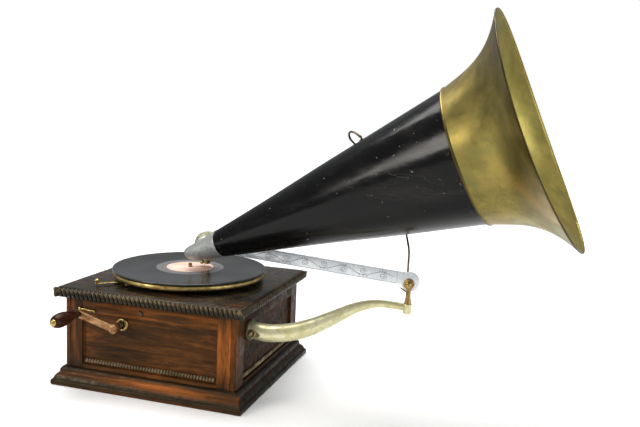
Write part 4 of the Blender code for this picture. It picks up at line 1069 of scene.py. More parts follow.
@dataclass(frozen=True)
class Case:
    """The wooden case: plinth, posts, framed panels, top board and its carved edge."""

    half_x: float = 145.5
    half_y: float = 138.5
    plinth_over: float = 17.0
    plinth_high: float = 29.0
    top_over: float = 13.8
    top: float = 158.0
    under: float = 141.4
    low: float = 10.3
    post: float = 30.0
    rail: float = 119.0
    ledge: float = 35.0
    recess: float = 4.0
    board: float = 12.0
    rope_pitch: float = 7.6
    bead_pitch: float = 5.0

    def build(self) -> None:
        """Make every piece of the case."""
        self.make_plinth()
        self.make_posts()
        self.make_sides()
        self.make_top()
        self.make_rope()
        dress({"bottom_board": Finishes.wood_x})

    def make_plinth(self) -> None:
        """The moulded base: a rounded fillet, a long slope, a hollow and a bead."""
        over = self.plinth_over
        section = [(over - 1.2, 0.0), (over - 0.2, 1.2), (over, 3.0), (over - 0.1, 6.5), (over - 0.9, 8.6),
            (over - 2.6, 9.6), (over - 3.4, 11.0), (over - 4.6, 13.8), (over - 6.6, 16.6), (over - 9.0, 18.8),
            (over - 10.2, 20.0), (over - 10.4, 21.6), (over - 10.8, 24.2), (over - 12.0, 26.4),
            (over - 13.4, 28.0), (1.6, self.plinth_high)]
        levels = [(self.half_x + out, self.half_y + out, z) for out, z in section]
        levels += [(self.half_x + 0.3, self.half_y + 0.3, self.plinth_high),
            (self.half_x + 0.3, self.half_y + 0.3, 0.0)]
        shape = Shape().frame(levels)
        long_edges = [e for e in shape.bm.edges if e.calc_length() > 250.0]
        bmesh.ops.subdivide_edges(shape.bm, edges=long_edges, cuts=48, use_grid_fill=True)
        for vert in shape.bm.verts:
            if vert.co.z < 9.0 and abs(vert.co.z) > 0.5:
                ripple = sin(vert.co.x * 0.21 + vert.co.y * 0.17) + 0.6 * sin(
                    vert.co.x * 0.53 - vert.co.y * 0.41 + 1.0)
                vert.co.z += 0.5 * ripple * (1.0 - vert.co.z / 9.0)
        # Faces on the ±X ends take the darker plinth wood, partly painted shade.
        for face in shape.bm.faces:
            at = face.calc_center_median()
            face.material_index = int(abs(at.x) - self.half_x > abs(at.y) - self.half_y)
        shape.piece("plinth", Finishes.plinth_wood, "root", ("plinth_moulding",), "walnut", 50.0,
            self.plinth_wear_and_highlight, Finishes.plinth_side_wood_with_shade)

    def plinth_wear_and_highlight(self, at: Vector) -> float:
        """How worn and lit the plinth is: a painted highlight on its round shoulders and wear along its foot,
        most about the middle of the crank side.

        Args:
            at: the point.

        Returns:
            The wear and painted highlight, from 0 to 1.
        """
        # The band at the shoulder is a painted highlight; the band at the foot is wear.
        shoulder = max(0.0, 1.0 - abs(at.z - 19.5) / 8.0) + 0.5 * max(0.0, 1.0 - at.z / 5.0)
        front = 1.0 if at.y < -self.half_y else 0.12
        middle = 0.30 + 0.70 * max(0.0, 1.0 - abs(at.x - 30.0) / 110.0)
        return min(1.0, shoulder * front * middle * 1.3)

    def make_posts(self) -> None:
        """Corner posts, each with a cut line beside its corner bead."""
        groove = 8.5
        names = {(-1, -1): "front_left", (1, -1): "front_right", (-1, 1): "back_left", (1, 1): "back_right"}
        for (sx, sy), name in names.items():
            size = self.post
            outline = [(0.0, 0.0), (size, 0.0), (size, size - groove - 0.8), (size - 1.1, size - groove),
                (size, size - groove + 0.8), (size, size), (size - groove + 0.8, size),
                (size - groove, size - 1.1), (size - groove - 0.8, size), (0.0, size)]
            shape = Shape().slab(outline, self.low, self.under - 0.3)
            corner = [e for e in shape.bm.edges if all(abs(v.co.x - size) < MERGE
                and abs(v.co.y - size) < MERGE for v in e.verts)]
            bmesh.ops.bevel(shape.bm, geom=corner, offset=2.6, segments=5, profile=0.5, material=-1,
                affect="EDGES")
            upright = [e for e in shape.bm.edges if abs(e.verts[0].co.z - e.verts[1].co.z) > 50.0]
            bmesh.ops.subdivide_edges(shape.bm, edges=upright, cuts=16, use_grid_fill=True)
            shape.move(Matrix.Translation((sx * (self.half_x - size), sy * (self.half_y - size), 0.0))
                @ Matrix.Diagonal((sx, sy, 1.0, 1.0)))
            shape.piece(f"post_{name}_wood", Finishes.wood_z, "root", (f"post_{name}",), "walnut", 30.0,
                self.post_wear)

    def post_wear(self, at: Vector) -> float:
        """How worn a post is: most down the middle of the front right one.

        Args:
            at: the point.

        Returns:
            The wear, from 0 to 1.
        """
        tall = max(0.0, 1.0 - abs(at.z - 88.0) / 62.0)
        if at.y > 0.0:
            return 0.15 * tall
        if at.x > 0.0:
            face = 1.0 if at.y < -self.half_y + 2.0 and at.x < self.half_x - 8.0 else 0.25
            return min(1.0, 1.5 * tall) * face
        return 0.4 * tall

    def make_sides(self) -> None:
        """The four framed sides, with a beaded strip along the foot of each panel."""
        # The right and left sides take the darker side wood, partly painted shade.
        sides = (("front", 0.0, self.half_x, self.half_y, Finishes.wood_x),
            ("right", 90.0, self.half_y, self.half_x, Finishes.side_wood_with_shade),
            ("back", 180.0, self.half_x, self.half_y, Finishes.wood_x),
            ("left", 270.0, self.half_y, self.half_x, Finishes.side_wood_with_shade))
        for name, turn, half_run, face, wood in sides:
            run = half_run - self.post - 0.2
            front = -face
            shape = Shape()
            shape.box((-run, front, self.rail), (run, front + self.board, self.under - 0.3), 0.9, 2)
            shape.box((-run, front, self.low), (run, front + self.board, self.ledge), 0.9, 2)
            shape.box((-run, front + self.recess, self.ledge + 0.01), (run, front + self.board,
                self.rail - 0.01))
            for side in (-1.0, 1.0):
                shape.rod([(side * (run - 1.0), front + self.recess - 0.4, z)
                    for z in (self.ledge, self.rail)], 1.7, 3)
            shape.rod([(x, front + self.recess - 0.4, self.rail - 1.0) for x in (-run, run)], 1.5, 3)
            shape.box((-run + 2.5, front + self.recess - 1.4, self.ledge + 2.0),
                (run - 2.5, front + self.recess + 0.5, self.ledge + 10.4), 0.6, 1)
            beads = Shape()
            count = int((2 * run - 8.0) / self.bead_pitch)
            for i in range(count):
                x = -run + 4.0 + (2 * run - 8.0) * (i + 0.5) / count
                beads.bead(Matrix.Translation((x, front + self.recess - 1.6, self.ledge + 6.2))
                    @ Matrix.Rotation(radians(12.0), 4, "Y") @ Matrix.Diagonal((2.25, 2.4, 3.6, 1.0)))
            beads.move(Matrix.Rotation(radians(turn), 4, "Z"))
            # The beads' light tan is partly a painted highlight.
            beads.piece(f"{name}_beads", Finishes.bead_wood_with_highlight, "root", (), "walnut", 60.0)
            if name == "right":
                shape.box((-108.2, front + 0.1, 91.0), (-70.0, front + self.recess + 1.0, self.rail + 4.0),
                    0.4, 1)
            shape.move(Matrix.Rotation(radians(turn), 4, "Z"))
            shape.piece(f"{name}_side", wood, "root", (f"{name}_panel",), "walnut", 35.0, self.side_wear)

    def side_wear(self, at: Vector) -> float:
        """How worn a side is: bare streaks along the crank side's top rail and panel top.

        Args:
            at: the point.

        Returns:
            The wear, from 0 to 1.
        """
        if at.y > -self.half_y + 8.0:
            return 0.12
        if at.z > self.rail:
            return 0.42
        return 0.16

    def make_top(self) -> None:
        """The top board, with a softened edge inside the carved one."""
        reach_x = self.half_x + self.top_over - 6.0
        reach_y = self.half_y + self.top_over - 6.0
        shape = Shape().box((-reach_x, -reach_y, self.under), (reach_x, reach_y, self.top), 0.9, 3)
        shape.piece("top_board_wood", Finishes.top_wood, "root", ("top_board",), "walnut", 35.0)

    def make_rope(self) -> None:
        """The carved edge: slanting lobes round a half-round rail."""
        rim_x = self.half_x + self.top_over
        rim_y = self.half_y + self.top_over
        middle = (self.top + self.under) / 2
        high = (self.top - self.under) / 2 - 0.7
        levels = []
        for i in range(9):
            angle = -pi / 2 + pi * i / 8
            out = -7.0 + 4.0 * cos(angle)
            levels.append((rim_x + out, rim_y + out, middle + high * sin(angle)))
        shape = Shape().frame(levels)
        for turn, half_run, reach in ((0, rim_x, rim_y), (90, rim_y, rim_x), (180, rim_x, rim_y),
                (270, rim_y, rim_x)):
            count = round(2 * half_run / self.rope_pitch)
            for i in range(count):
                x = -half_run + 2 * half_run * (i + 0.5) / count
                place = (Matrix.Rotation(radians(turn), 4, "Z") @ Matrix.Translation((x, -reach + 4.9,
                    middle)) @ Matrix.Rotation(radians(-26.0), 4, "Y") @ Matrix.Diagonal((3.5, 5.3, 8.3,
                    1.0)))
                shape.bead(place, 10, 8)
        # The lobes' marked points take a painted highlight, not wear.
        shape.piece("rope_edge_wood", Finishes.rope_wood_with_glints, "root", ("rope_edge",), "rope_edge", 60.0,
            self.rope_painted_glint)

    def rope_painted_glint(self, at: Vector) -> float:
        """How bright the carved edge is painted: a painted highlight on the upper, outer turn of each lobe,
        stronger on the crank side.

        Args:
            at: the point.

        Returns:
            The painted highlight, from 0 to 1.
        """
        out = max(abs(at.x) - self.half_x - self.top_over, abs(at.y) - self.half_y - self.top_over) + 3.4
        side = 0.55 if at.y < -self.half_y else 0.35
        return max(0.0, min(1.0, out / 2.4)) * max(0.0, min(1.0, (at.z - 150.0) / 4.0)) * side


# ------------------------------------------------------------------ turntable and motor


@dataclass(frozen=True)
class Turntable:
    """The platter, the disc on it and its label, and the spindle."""

    platter_r: float = 126.0
    low: float = 165.0
    high: float = 173.0
    disc_r: float = 127.0
    disc_top: float = 177.0
    disc_thick: float = 2.4
    label_r: float = 39.0
    pin_r: float = 3.5

    def build(self) -> None:
        """Make the platter, disc and label, and dress the rest."""
        self.make_platter()
        self.make_disc()
        dress({"felt_mat": Finishes.felt, "turntable_spindle": Finishes.pin_steel,
            "worm_wheel": Finishes.motor_brass})

    def make_platter(self) -> None:
        """A pressed platter with a rolled brass rim."""
        r, low, high = self.platter_r, self.low, self.high
        outline = [(self.pin_r, low - 2.0), (12.0, low - 2.0), (14.0, high - 3.0), (r - 4.5, high - 3.0),
            (r - 4.5, low + 0.6), (r - 3.6, low), (r - 1.9, low + 0.1), (r - 0.8, low + 0.8),
            (r - 0.2, low + 2.2), (r, low + 4.0), (r - 0.2, high - 1.8), (r - 0.8, high - 0.6),
            (r - 1.8, high), (self.pin_r, high)]
        Shape().turn(outline, 160).piece("platter_brass", Finishes.rim_brass, "turntable", ("platter",),
            "platter_brass", 40.0)

    def make_disc(self) -> None:
        """The disc with its raised edge, and the label let into it."""
        r, top = self.disc_r, self.disc_top
        low = top - self.disc_thick
        outline = [(self.pin_r, low), (r - 1.2, low), (r - 0.3, low + 0.5), (r, low + 1.1),
            (r - 0.2, top - 0.4), (r - 0.9, top), (r - 2.2, top - 0.05), (r - 3.2, top - 0.3),
            (57.0, top - 0.3), (56.0, top - 0.35), (self.label_r + 1.2, top - 0.35),
            (self.label_r + 0.3, top - 0.45), (self.pin_r, top - 0.45)]
        Shape().turn(outline, 192).piece("disc", Finishes.shellac, "turntable", ("record",), "shellac", 50.0)
        outline = [(self.pin_r, top - 0.42), (self.label_r, top - 0.42), (self.label_r, top - 0.1),
            (self.label_r - 0.4, top), (self.pin_r, top)]
        Shape().turn(outline, 96).piece("disc_label", Finishes.paper, "turntable", ("record_label",),
            "label_paper")


@dataclass(frozen=True)
class Motor:
    """The spring motor under the top board, which shows only as its CAD nodes."""

    castings: tuple[str, ...] = ("motor_bedplate", "motor_frame", "spring_barrel", "barrel_cover",
        "crown_gear")
    steels: tuple[str, ...] = ("winding_shaft", "ratchet_wheel", "ratchet_click", "barrel_arbor",
        "intermediate_shaft", "governor_shaft", "regulator_lever")
    brasses: tuple[str, ...] = ("intermediate_wheel", "governor_disc", "governor_weights")

    def build(self) -> None:
        """Dress the motor's nodes."""
        dress({name: Finishes.casting for name in self.castings})
        dress({name: Finishes.steel for name in self.steels})
        dress({name: Finishes.motor_brass for name in self.brasses})
        dress({"mainspring": Finishes.spring_steel})


# ------------------------------------------------------------------ crank, brake and latch


@dataclass(frozen=True)
class Crank:
    """The winding crank with its turned handle, and the ring it passes through."""

    x: float = -46.5
    z: float = 107.0
    throw: float = 65.0
    lean: float = 164.8
    face: float = -158.0
    plate: float = 5.0
    end: float = -219.0

    @property
    def tip(self) -> Point2:
        """Where the handle stands, as x and z."""
        return (self.x + self.throw * cos(radians(self.lean)), self.z + self.throw * sin(radians(self.lean)))

    def build(self) -> None:
        """Make the crank's pieces."""
        along = aim((self.x, 0.0, self.z), (0, 1, 0))
        wall = -134.5
        outline = [(6.4, wall - 0.3), (6.4, wall - 3.2), (6.9, wall - 3.9), (7.8, wall - 4.2),
            (8.8, wall - 3.9), (9.8, wall - 3.0), (10.5, wall - 2.0), (10.8, wall - 1.2), (10.8, wall - 0.3)]
        Shape().turn(outline, 64, along).piece("crank_ring", Finishes.fitting_brass, "root",
            ("crank_escutcheon",), "fittings_brass")
        root = self.face - self.plate
        shape = Shape().slab(capsule((self.x, self.z), self.tip, 11.0), root, self.face, 0.9, UPRIGHT)
        outline = [(0.0, root - 1.9), (4.6, root - 1.9), (5.4, root - 1.5), (5.7, root - 0.6),
            (7.1, root - 0.2), (7.5, root + 0.6), (7.5, self.face + 7.2), (6.9, self.face + 8.0),
            (0.0, self.face + 8.0)]
        shape.turn(outline, 48, along)
        shape.piece("crank_bar", Finishes.brown_plate, "winding", ("crank_arm",), "brown_brass")
        out = aim((self.tip[0], 0.0, self.tip[1]), (0, 1, 0))
        end = self.end
        outline = [(0.0, end - 3.5), (2.2, end - 3.4), (4.0, end - 2.8), (5.0, end - 1.6), (5.2, end - 0.3),
            (2.6, end - 0.3), (2.6, self.face + 0.4), (0.0, self.face + 0.5)]
        Shape().turn(outline, 40, out).piece("handle_rivet", Finishes.fitting_brass, "winding",
            ("handle_pin",), "fittings_brass")
        known = [(5.6, end), (6.6, end + 0.8), (8.8, end + 4.0), (10.5, end + 10.0), (11.0, end + 17.0),
            (10.3, end + 26.0), (8.7, end + 36.0), (7.0, end + 43.0), (6.1, end + 47.5), (6.2, root - 5.6)]
        turned = [(p.x, p.y) for p in smooth_line([(r, y, 0.0) for r, y in known], 4)]
        turned += [(7.2, root - 4.8), (7.5, root - 3.6), (7.3, root - 2.2), (6.8, root - 0.4),
            (3.0, root - 0.4), (3.0, end)]
        Shape().turn(turned, 56, out).piece("handle_grip", Finishes.handle_wood, "handle", ("crank_handle",),
            "handle_wood")


@dataclass(frozen=True)
class Brake:
    """The turntable brake: lever, knob, pad and pivot screw."""

    pivot: Point2 = (108.0 * cos(radians(229.0)), 108.0 * sin(radians(229.0)))
    knob: Point2 = (-103.0, -118.0)
    low: float = 160.5
    high: float = 162.7

    def build(self) -> None:
        """Make the brake's pieces."""
        pad_r = 126.0 - 4.5 - 0.6 - 2.5
        pad_at = (pad_r * cos(radians(240.6)), pad_r * sin(radians(240.6)))
        shape = Shape().slab(capsule(self.pivot, self.knob, 7.0), self.low, self.high, 0.5)
        shape.slab(capsule(self.pivot, pad_at, 6.4), self.low + 0.02, self.high - 0.02, 0.5)
        shape.piece("brake_bar", Finishes.fitting_brass, "brake", ("brake_lever",), "fittings_brass")
        z = self.high
        outline = [(0.0, self.low), (1.6, self.low), (1.6, z + 0.3), (2.6, z + 0.3), (2.7, z + 0.9),
            (2.0, z + 1.5), (2.2, z + 2.1), (3.4, z + 2.9), (4.0, z + 4.0), (3.9, z + 5.2), (3.0, z + 6.3),
            (1.4, z + 6.9), (0.0, z + 7.0)]
        Shape().turn(outline, 40, Matrix.Translation((*self.knob, 0.0))).piece("brake_button",
            Finishes.fitting_brass, "brake", ("brake_knob",), "fittings_brass")
        outline = [(0.0, 150.0), (2.0, 150.0), (2.0, z + 0.3), (4.0, z + 0.3), (4.0, z + 1.2), (3.3, z + 2.1),
            (1.8, z + 2.6), (0.0, z + 2.7)]
        Shape().turn(outline, 32, Matrix.Translation((*self.pivot, 0.0))).piece("brake_pivot_screw",
            Finishes.steel, "root", ("brake_screw",), "steel")
        dress({"brake_pad": Finishes.leather})


@dataclass(frozen=True)
class FrontFittings:
    """The small hook and the speed screw on the crank side's top rail."""

    hook_x: float = -119.0
    hook_z: float = 124.6
    eye_x: float = -93.0
    screw_x: float = -12.9
    screw_z: float = 129.0
    face: float = -138.5

    def build(self) -> None:
        """Make the hook and the screw."""
        y = self.face - 1.6
        route = smooth_line([(self.hook_x + 2.5, y, self.hook_z), (self.hook_x + 9.0, y - 0.2,
            self.hook_z + 0.6), (self.hook_x + 18.0, y, self.hook_z - 0.7),
            (self.eye_x - 2.0, y - 0.2, self.hook_z - 0.4), (self.eye_x + 1.2, y - 0.5, self.hook_z - 1.8),
            (self.eye_x + 0.2, y - 0.4, self.hook_z - 3.6)], 5)
        shape = Shape().rod(route, [1.15] * (len(route) - 4) + [1.0, 0.9, 0.75, 0.6], 3)
        outline = [(0.0, self.face - 0.3), (3.3, self.face - 0.3), (3.4, self.face - 1.4),
            (2.8, self.face - 2.4), (1.4, self.face - 3.1), (0.0, self.face - 3.2)]
        shape.turn(outline, 32, aim((self.hook_x, 0.0, self.hook_z), (0, 1, 0)))
        shape.piece("hook", Finishes.fitting_brass, "latch", ("latch_hook",), "fittings_brass")
        y = self.face
        outline = [(0.0, y - 3.2), (2.0, y - 3.1), (3.4, y - 2.6), (4.1, y - 1.7), (4.3, y - 0.4),
            (2.0, y - 0.4), (2.0, -57.0), (0.0, -57.0)]
        Shape().turn(outline, 36, aim((self.screw_x, 0.0, self.screw_z), (0, 1, 0))).piece("speed_knob",
            Finishes.drawn_wire, "speed_control", ("speed_screw",), "brown_brass")


# ------------------------------------------------------------------ support arm and swivel


@dataclass(frozen=True)
class SupportArm:
    """The curved, tapering arm on the side of the case, its flange, socket and screw."""

    flange: tuple[float, float, float] = (146.0, -89.0, 111.0)
    flange_r: float = 16.5
    bolt: Point2 = (-101.5, 108.5)
    socket_low: float = 147.0
    socket_high: float = 163.0

    def build(self) -> None:
        """Make the arm and its screw."""
        fx, fy, fz = self.flange
        route = [(fx + 3.0, fy, fz + 0.5), (fx + 12.0, fy, fz - 0.5), (180.0, -86.0, 109.0),
            (212.0, -76.0, 112.8), (239.0, -65.5, 121.5), (265.0, -54.0, 134.0), (292.0, -42.5, 148.5),
            (316.0, -33.5, 157.0), (340.0, -27.0, 159.6), (PIVOT.x - 2.0, PIVOT.y, 157.0)]
        widths = [13.0, 13.2, 13.6, 13.5, 12.6, 10.9, 8.6, 6.8, 5.8, 5.4]
        line = smooth_line(route, 8)
        sizes = [v.x for v in smooth_line([(w, 0.0, 0.0) for w in widths], 8)]
        shape = Shape().rod(line, sizes, 12)
        outline = [(0.0, fx - 0.2), (self.flange_r - 0.6, fx - 0.2), (self.flange_r, fx + 0.4),
            (self.flange_r, fx + 2.6), (self.flange_r - 0.6, fx + 3.8), (self.flange_r - 2.0, fx + 4.8),
            (12.0, fx + 5.6), (0.0, fx + 5.6)]
        ring = Shape().turn(outline, 64, aim((0.0, fy, fz), (1, 0, 0)))
        ring.piece("arm_flange", Finishes.flange_metal, "root", (), "worn_nickel", 40.0)
        low, high = self.socket_low, self.socket_high
        outline = [(0.0, low), (3.6, low), (5.2, low + 0.6), (6.2, low + 1.8), (6.4, low + 4.0),
            (6.2, high - 2.2), (6.6, high - 1.2), (6.2, high), (3.9, high), (3.9, low + 2.4),
            (0.0, low + 2.4)]
        shape.turn(outline, 48, Matrix.Translation(PIVOT))
        arm = shape.piece("arm_casting", Finishes.arm_nickel, "root", ("support_arm",), "worn_nickel", 40.0)
        self.cut_recess(arm)
        self.make_screw()

    def cut_recess(self, arm: bpy.types.Object) -> None:
        """Sink the screw's seat into the root of the arm.

        Args:
            arm: the arm's piece.
        """
        fx = self.flange[0]
        guide = Shape()
        guide.turn([(0.0, fx + 4.0), (7.4, fx + 4.0), (7.4, fx + 13.0), (0.0, fx + 24.0)], 40,
            aim((0.0, self.bolt[0] - 1.0, self.bolt[1]), (1, 0, 0)))
        bmesh.ops.scale(guide.bm, vec=(MM, MM, MM), verts=guide.bm.verts)
        bmesh.ops.recalc_face_normals(guide.bm, faces=guide.bm.faces)
        mesh = bpy.data.meshes.new("screw_seat")
        guide.bm.to_mesh(mesh)
        guide.bm.free()
        tool = bpy.data.objects.new("screw_seat", mesh)
        bpy.context.scene.collection.objects.link(tool)
        cut = arm.modifiers.new("screw_seat", "BOOLEAN")
        cut.operation = "DIFFERENCE"
        cut.solver = "EXACT"
        cut.object = tool
        bpy.context.view_layer.update()
        graph = bpy.context.evaluated_depsgraph_get()
        solid = bpy.data.meshes.new_from_object(arm.evaluated_get(graph))
        arm.modifiers.clear()
        arm.data = solid
        bpy.data.objects.remove(tool, do_unlink=True)

    def make_screw(self) -> None:
        """The slotted screw in the arm's root."""
        fx = self.flange[0]
        place = aim((0.0, *self.bolt), (1, 0, 0)) @ Matrix.Rotation(radians(25.0), 4, "Z")
        outline = [(0.0, fx), (2.2, fx), (2.2, fx + 5.7), (5.8, fx + 5.7), (5.8, fx + 8.6), (5.2, fx + 9.8),
            (3.4, fx + 10.7), (0.0, fx + 11.0)]
        shape = Shape().turn(outline, 40, place)
        shape.piece("arm_screw", Finishes.screw_brass, "root", ("flange_bolt",), "brown_brass")
        # The slot is a dark block on the head: painted shade for the groove.
        shape = Shape().box((-5.2, -0.6, fx + 9.2), (5.2, 0.6, fx + 11.15), 0.0, 1, place)
        shape.piece("arm_screw_slot_shade", Finishes.casting, "root", (), "cast_iron")


@dataclass(frozen=True)
class Swivel:
    """The stem in the socket, its eye, peg and tilt screw."""

    socket_high: float = 163.0
    eye_z: float = 193.2
    front: float = -2.5
    back: float = 3.6

    def build(self) -> None:
        """Make the stem and the screw."""
        top = self.socket_high
        known = [(5.2, top + 0.3), (5.4, top + 1.6), (4.9, top + 3.6), (4.2, top + 7.0), (3.7, top + 12.0),
            (3.6, top + 17.5)]
        outline = [(0.0, 150.0), (3.6, 150.0), (3.6, top + 0.3)]
        outline += [(p.x, p.y) for p in smooth_line([(r, z, 0.0) for r, z in known], 3)] + [(0.0, top + 18.0)]
        shape = Shape().turn(outline, 36)
        outline = [(0.0, self.front), (6.8, self.front), (7.6, self.front + 0.4), (8.0, self.front + 1.2),
            (8.0, self.back - 1.2), (7.6, self.back - 0.4), (6.8, self.back), (0.0, self.back)]
        shape.turn(outline, 48, aim((0.0, 0.0, self.eye_z), (0, 1, 0)))
        neck = [(Vector((0.0, 0.5, 178.0)), Vector((0, 0, 1)), 3.6), (Vector((0.0, 0.5, 182.0)),
            Vector((0, 0, 1)), 3.4), (Vector((0.0, 0.5, 188.0)), Vector((0, 0, 1)), 3.0)]
        shape.loft(neck, 24)
        shape.rod([(-1.5, -1.0, 181.0), (-8.0, -1.0, 183.9), (-12.6, -1.0, 187.0)], [1.3, 1.3, 1.0], 4)
        shape.move(ARM)
        shape.piece("swivel_fork", Finishes.yoke_brass, "swivel", ("swivel_stem",), "brown_brass", 40.0)
        place = aim((0.0, 0.0, self.eye_z), (0, 1, 0))
        y = self.front
        outline = [(0.0, y - 2.9), (2.4, y - 2.8), (4.0, y - 2.1), (4.8, y - 1.2), (4.8, y - 0.3),
            (2.5, y - 0.3), (2.5, 7.3), (5.0, 7.3), (5.0, 10.4), (4.4, 11.0), (0.0, 11.0)]
        Shape().turn(outline, 40, place).move(ARM).piece("tilt_pin", Finishes.fitting_brass, "swivel",
            ("tilt_screw",), "fittings_brass")
        # The slot is a dark block on the head: painted shade for the groove.
        slot = Shape().box((-4.0, -0.45, y - 3.0), (4.0, 0.45, y - 2.2), 0.0, 1,
            place @ Matrix.Rotation(0.6, 4, "Z"))
        slot.move(ARM).piece("tilt_pin_slot_shade", Finishes.casting, "swivel", (), "cast_iron")


# ------------------------------------------------------------------ horn and travelling arm


@dataclass(frozen=True)
class Horn:
    """The black cone, the brass bell and the wire that hangs them on the arm."""

    cone: float = 428.0
    small_r: float = 21.2
    joint_r: float = 100.7
    bell: float = 104.6
    bell_r: float = 174.7
    slope: float = 0.30
    power: float = 3.6
    sheet: float = 0.6
    sprung: float = 8.0
    wire_r: float = 1.6

    @property
    def place(self) -> Matrix:
        """The horn's own frame, with Z along it."""
        return aim(HORN_START, HORN_AXIS)

    def cone_radius(self, along: float) -> float:
        """Outer radius of the cone at a distance from its small end."""
        return self.small_r + (self.joint_r - self.small_r) * along / self.cone

    def bell_radius(self, along: float) -> float:
        """Outer radius of the bell at a distance from its joint."""
        flare = self.bell_r - self.joint_r - self.slope * self.bell
        return self.joint_r + self.slope * along + flare * (along / self.bell) ** self.power

    def point(self, along: float, radius: float, around: float) -> Vector:
        """A point by its place along the axis and its angle from underneath.

        Args:
            along: distance from the small end.
            radius: distance from the axis.
            around: angle from underneath, in degrees.

        Returns:
            The point in the travelling arm's frame.
        """
        turn = radians(around)
        return HORN_START + HORN_AXIS * along + (HORN_UP * -cos(turn) + Vector((0.0, 1.0, 0.0)) * sin(
            turn)) * radius

    def build(self) -> None:
        """Make the cone, the bell, the wire and the eyelet."""
        self.make_cone()
        self.make_bell()
        self.make_wire()

    def make_cone(self) -> None:
        """A long cone of sheet, a little out of true, with a turned small end."""
        steps = 26
        far = self.cone + 6.0
        outer = [(self.cone_radius(far * i / steps), far * i / steps) for i in range(steps + 1)]
        inner = [(r - self.sheet, z) for r, z in outer[::-1]]
        shape = Shape().turn([(self.small_r + 0.5, 0.6), *outer[1:], *inner[:-1], (self.small_r - 0.6, 0.0),
            (self.small_r + 0.2, 0.0)], 144)
        for vert in shape.bm.verts:
            angle = atan2(vert.co.y, vert.co.x)
            share = sin(pi * min(1.0, vert.co.z / self.cone))
            swell = 0.45 * sin(2 * angle + vert.co.z * 0.013) + 0.35 * sin(
                3 * angle - vert.co.z * 0.022 + 1.0)
            radius = hypot(vert.co.x, vert.co.y)
            grown = (radius + swell * share) / radius
            vert.co.x *= grown
            vert.co.y *= grown
        shape.move(ARM @ self.place)
        inverse = (ARM @ self.place).inverted()
        shape.piece("cone_sheet", Finishes.horn_black, "arm", ("horn_cone",), "horn_black", 50.0,
            lambda at: 1.0 if (inverse @ at).z < 2.5 or (inverse @ at).z > self.cone - 3.0 else 0.0)

    def make_bell(self) -> None:
        """The flared bell, with a bead at its joint and a rolled rim."""
        steps = 34
        rise = [self.bell * (1.0 - (1.0 - i / steps) ** 1.25) for i in range(steps + 1)]
        outer = [(self.bell_radius(z) + 0.3 + self.sheet * (1 - z / self.bell), self.cone + z) for z in rise]
        rim_r, rim_z = outer[-1]
        roll = 1.1
        curl = [(rim_r - 0.9 + roll * sin(radians(a)), rim_z + roll - roll * cos(radians(a)))
            for a in range(20, 331, 24)]
        inner = [(r - self.sheet, z) for r, z in outer[:-1][::-1]]
        bead = [(outer[0][0] + 0.2, self.cone - 1.2), (outer[0][0] + 1.3, self.cone - 0.6),
            (outer[0][0] + 1.7, self.cone + 0.6), (outer[0][0] + 1.3, self.cone + 1.8),
            (outer[0][0] + 0.6, self.cone + 2.4)]
        lip = [(inner[-1][0], self.cone - 1.2)]
        shape = Shape().turn([*bead, *outer[2:], *curl, *inner, *lip], 176)
        # Inner faces take the lighter brass copy, which paints light on them.
        for face in shape.bm.faces:
            face.material_index = int(all(self.lies_inside(vert.co) for vert in face.verts))
        up = (self.place.inverted().to_3x3() @ HORN_UP).normalized()
        for vert in shape.bm.verts:
            radius = hypot(vert.co.x, vert.co.y)
            share = max(0.0, (vert.co.z - self.cone) / self.bell) ** 2
            vert.co.z -= self.sprung * share * (1.0 - (vert.co.dot(up) / radius) ** 2)
        shape.move(ARM @ self.place)
        inverse = (ARM @ self.place).inverted()
        shape.piece("bell_sheet", Finishes.bell_brass, "arm", ("horn_bell",), "aged_brass", 60.0,
            lambda at: self.edge_wear(inverse @ at), Finishes.bell_inside_painted_light)

    def edge_wear(self, at: Vector) -> float:
        """How dark the bell is at a point of its own frame: only on its rim and its joint."""
        return 1.0 if hypot(at.x, at.y) > self.bell_r + 0.1 or at.z < self.cone + 1.4 else 0.0

    def lies_inside(self, at: Vector) -> bool:
        """Whether a point of the bell is on its inner face.

        Args:
            at: the point, in the bell's own frame.

        Returns:
            Whether it is.
        """
        along = min(self.bell, max(0.0, at.z - self.cone))
        outer = self.bell_radius(along) + 0.3 + self.sheet * (1 - along / self.bell)
        return hypot(at.x, at.y) < outer - 0.75 * self.sheet

    def make_wire(self) -> None:
        """The hanger wire, hooked over the cone into its eyelet."""
        bow = ((293.0, 24.0, 21.0), (290.0, 15.0, 38.0), (284.0, 8.5, 68.0), (279.0, 7.0, 100.0),
            (272.0, 7.0, 132.0), (268.0, 8.0, 155.0), (267.0, 13.0, 168.0), (269.5, 18.5, 175.0),
            (275.0, 20.0, 180.0), (281.5, 17.0, 184.0), (287.0, 11.0, 186.0), (290.5, 4.6, 187.0))
        route = [Vector((-5.3, 11.0, z)) for z in (201.0, 222.0, 240.0)]
        route += [self.point(s, self.cone_radius(s) + out, around) for s, out, around in bow]
        shape = Shape().rod(smooth_line(route, 8), self.wire_r, 5).move(ARM)
        shape.piece("hanger_wire", Finishes.drawn_wire, "arm", ("horn_wire",), "wire")
        base = self.point(291.5, self.cone_radius(291.5) + 0.2, 187.0)
        outward = (base - self.point(291.5, 0.0, 187.0)).normalized()
        ring = [base + outward * (3.2 + 2.8 * cos(a)) + Vector((0, 1, 0)) * 2.8 * sin(a)
            for a in (2 * pi * i / 24 for i in range(25))]
        shape = Shape().rod(ring, 0.8, 4)
        shape.turn([(0.0, -0.4), (4.2, -0.4), (4.2, 0.4), (3.2, 0.9), (0.0, 0.9)], 28, aim(base, outward))
        shape.move(ARM).piece("wire_eyelet", Finishes.drawn_wire, "arm", (), "wire")
        holder = Shape().box((-9.8, 7.3, 199.6), (-0.8, 14.6, 208.5), 1.2, 3).move(ARM)
        holder.piece("wire_foot", Finishes.yoke_brass, "arm", ("wire_holder",), "brown_brass")


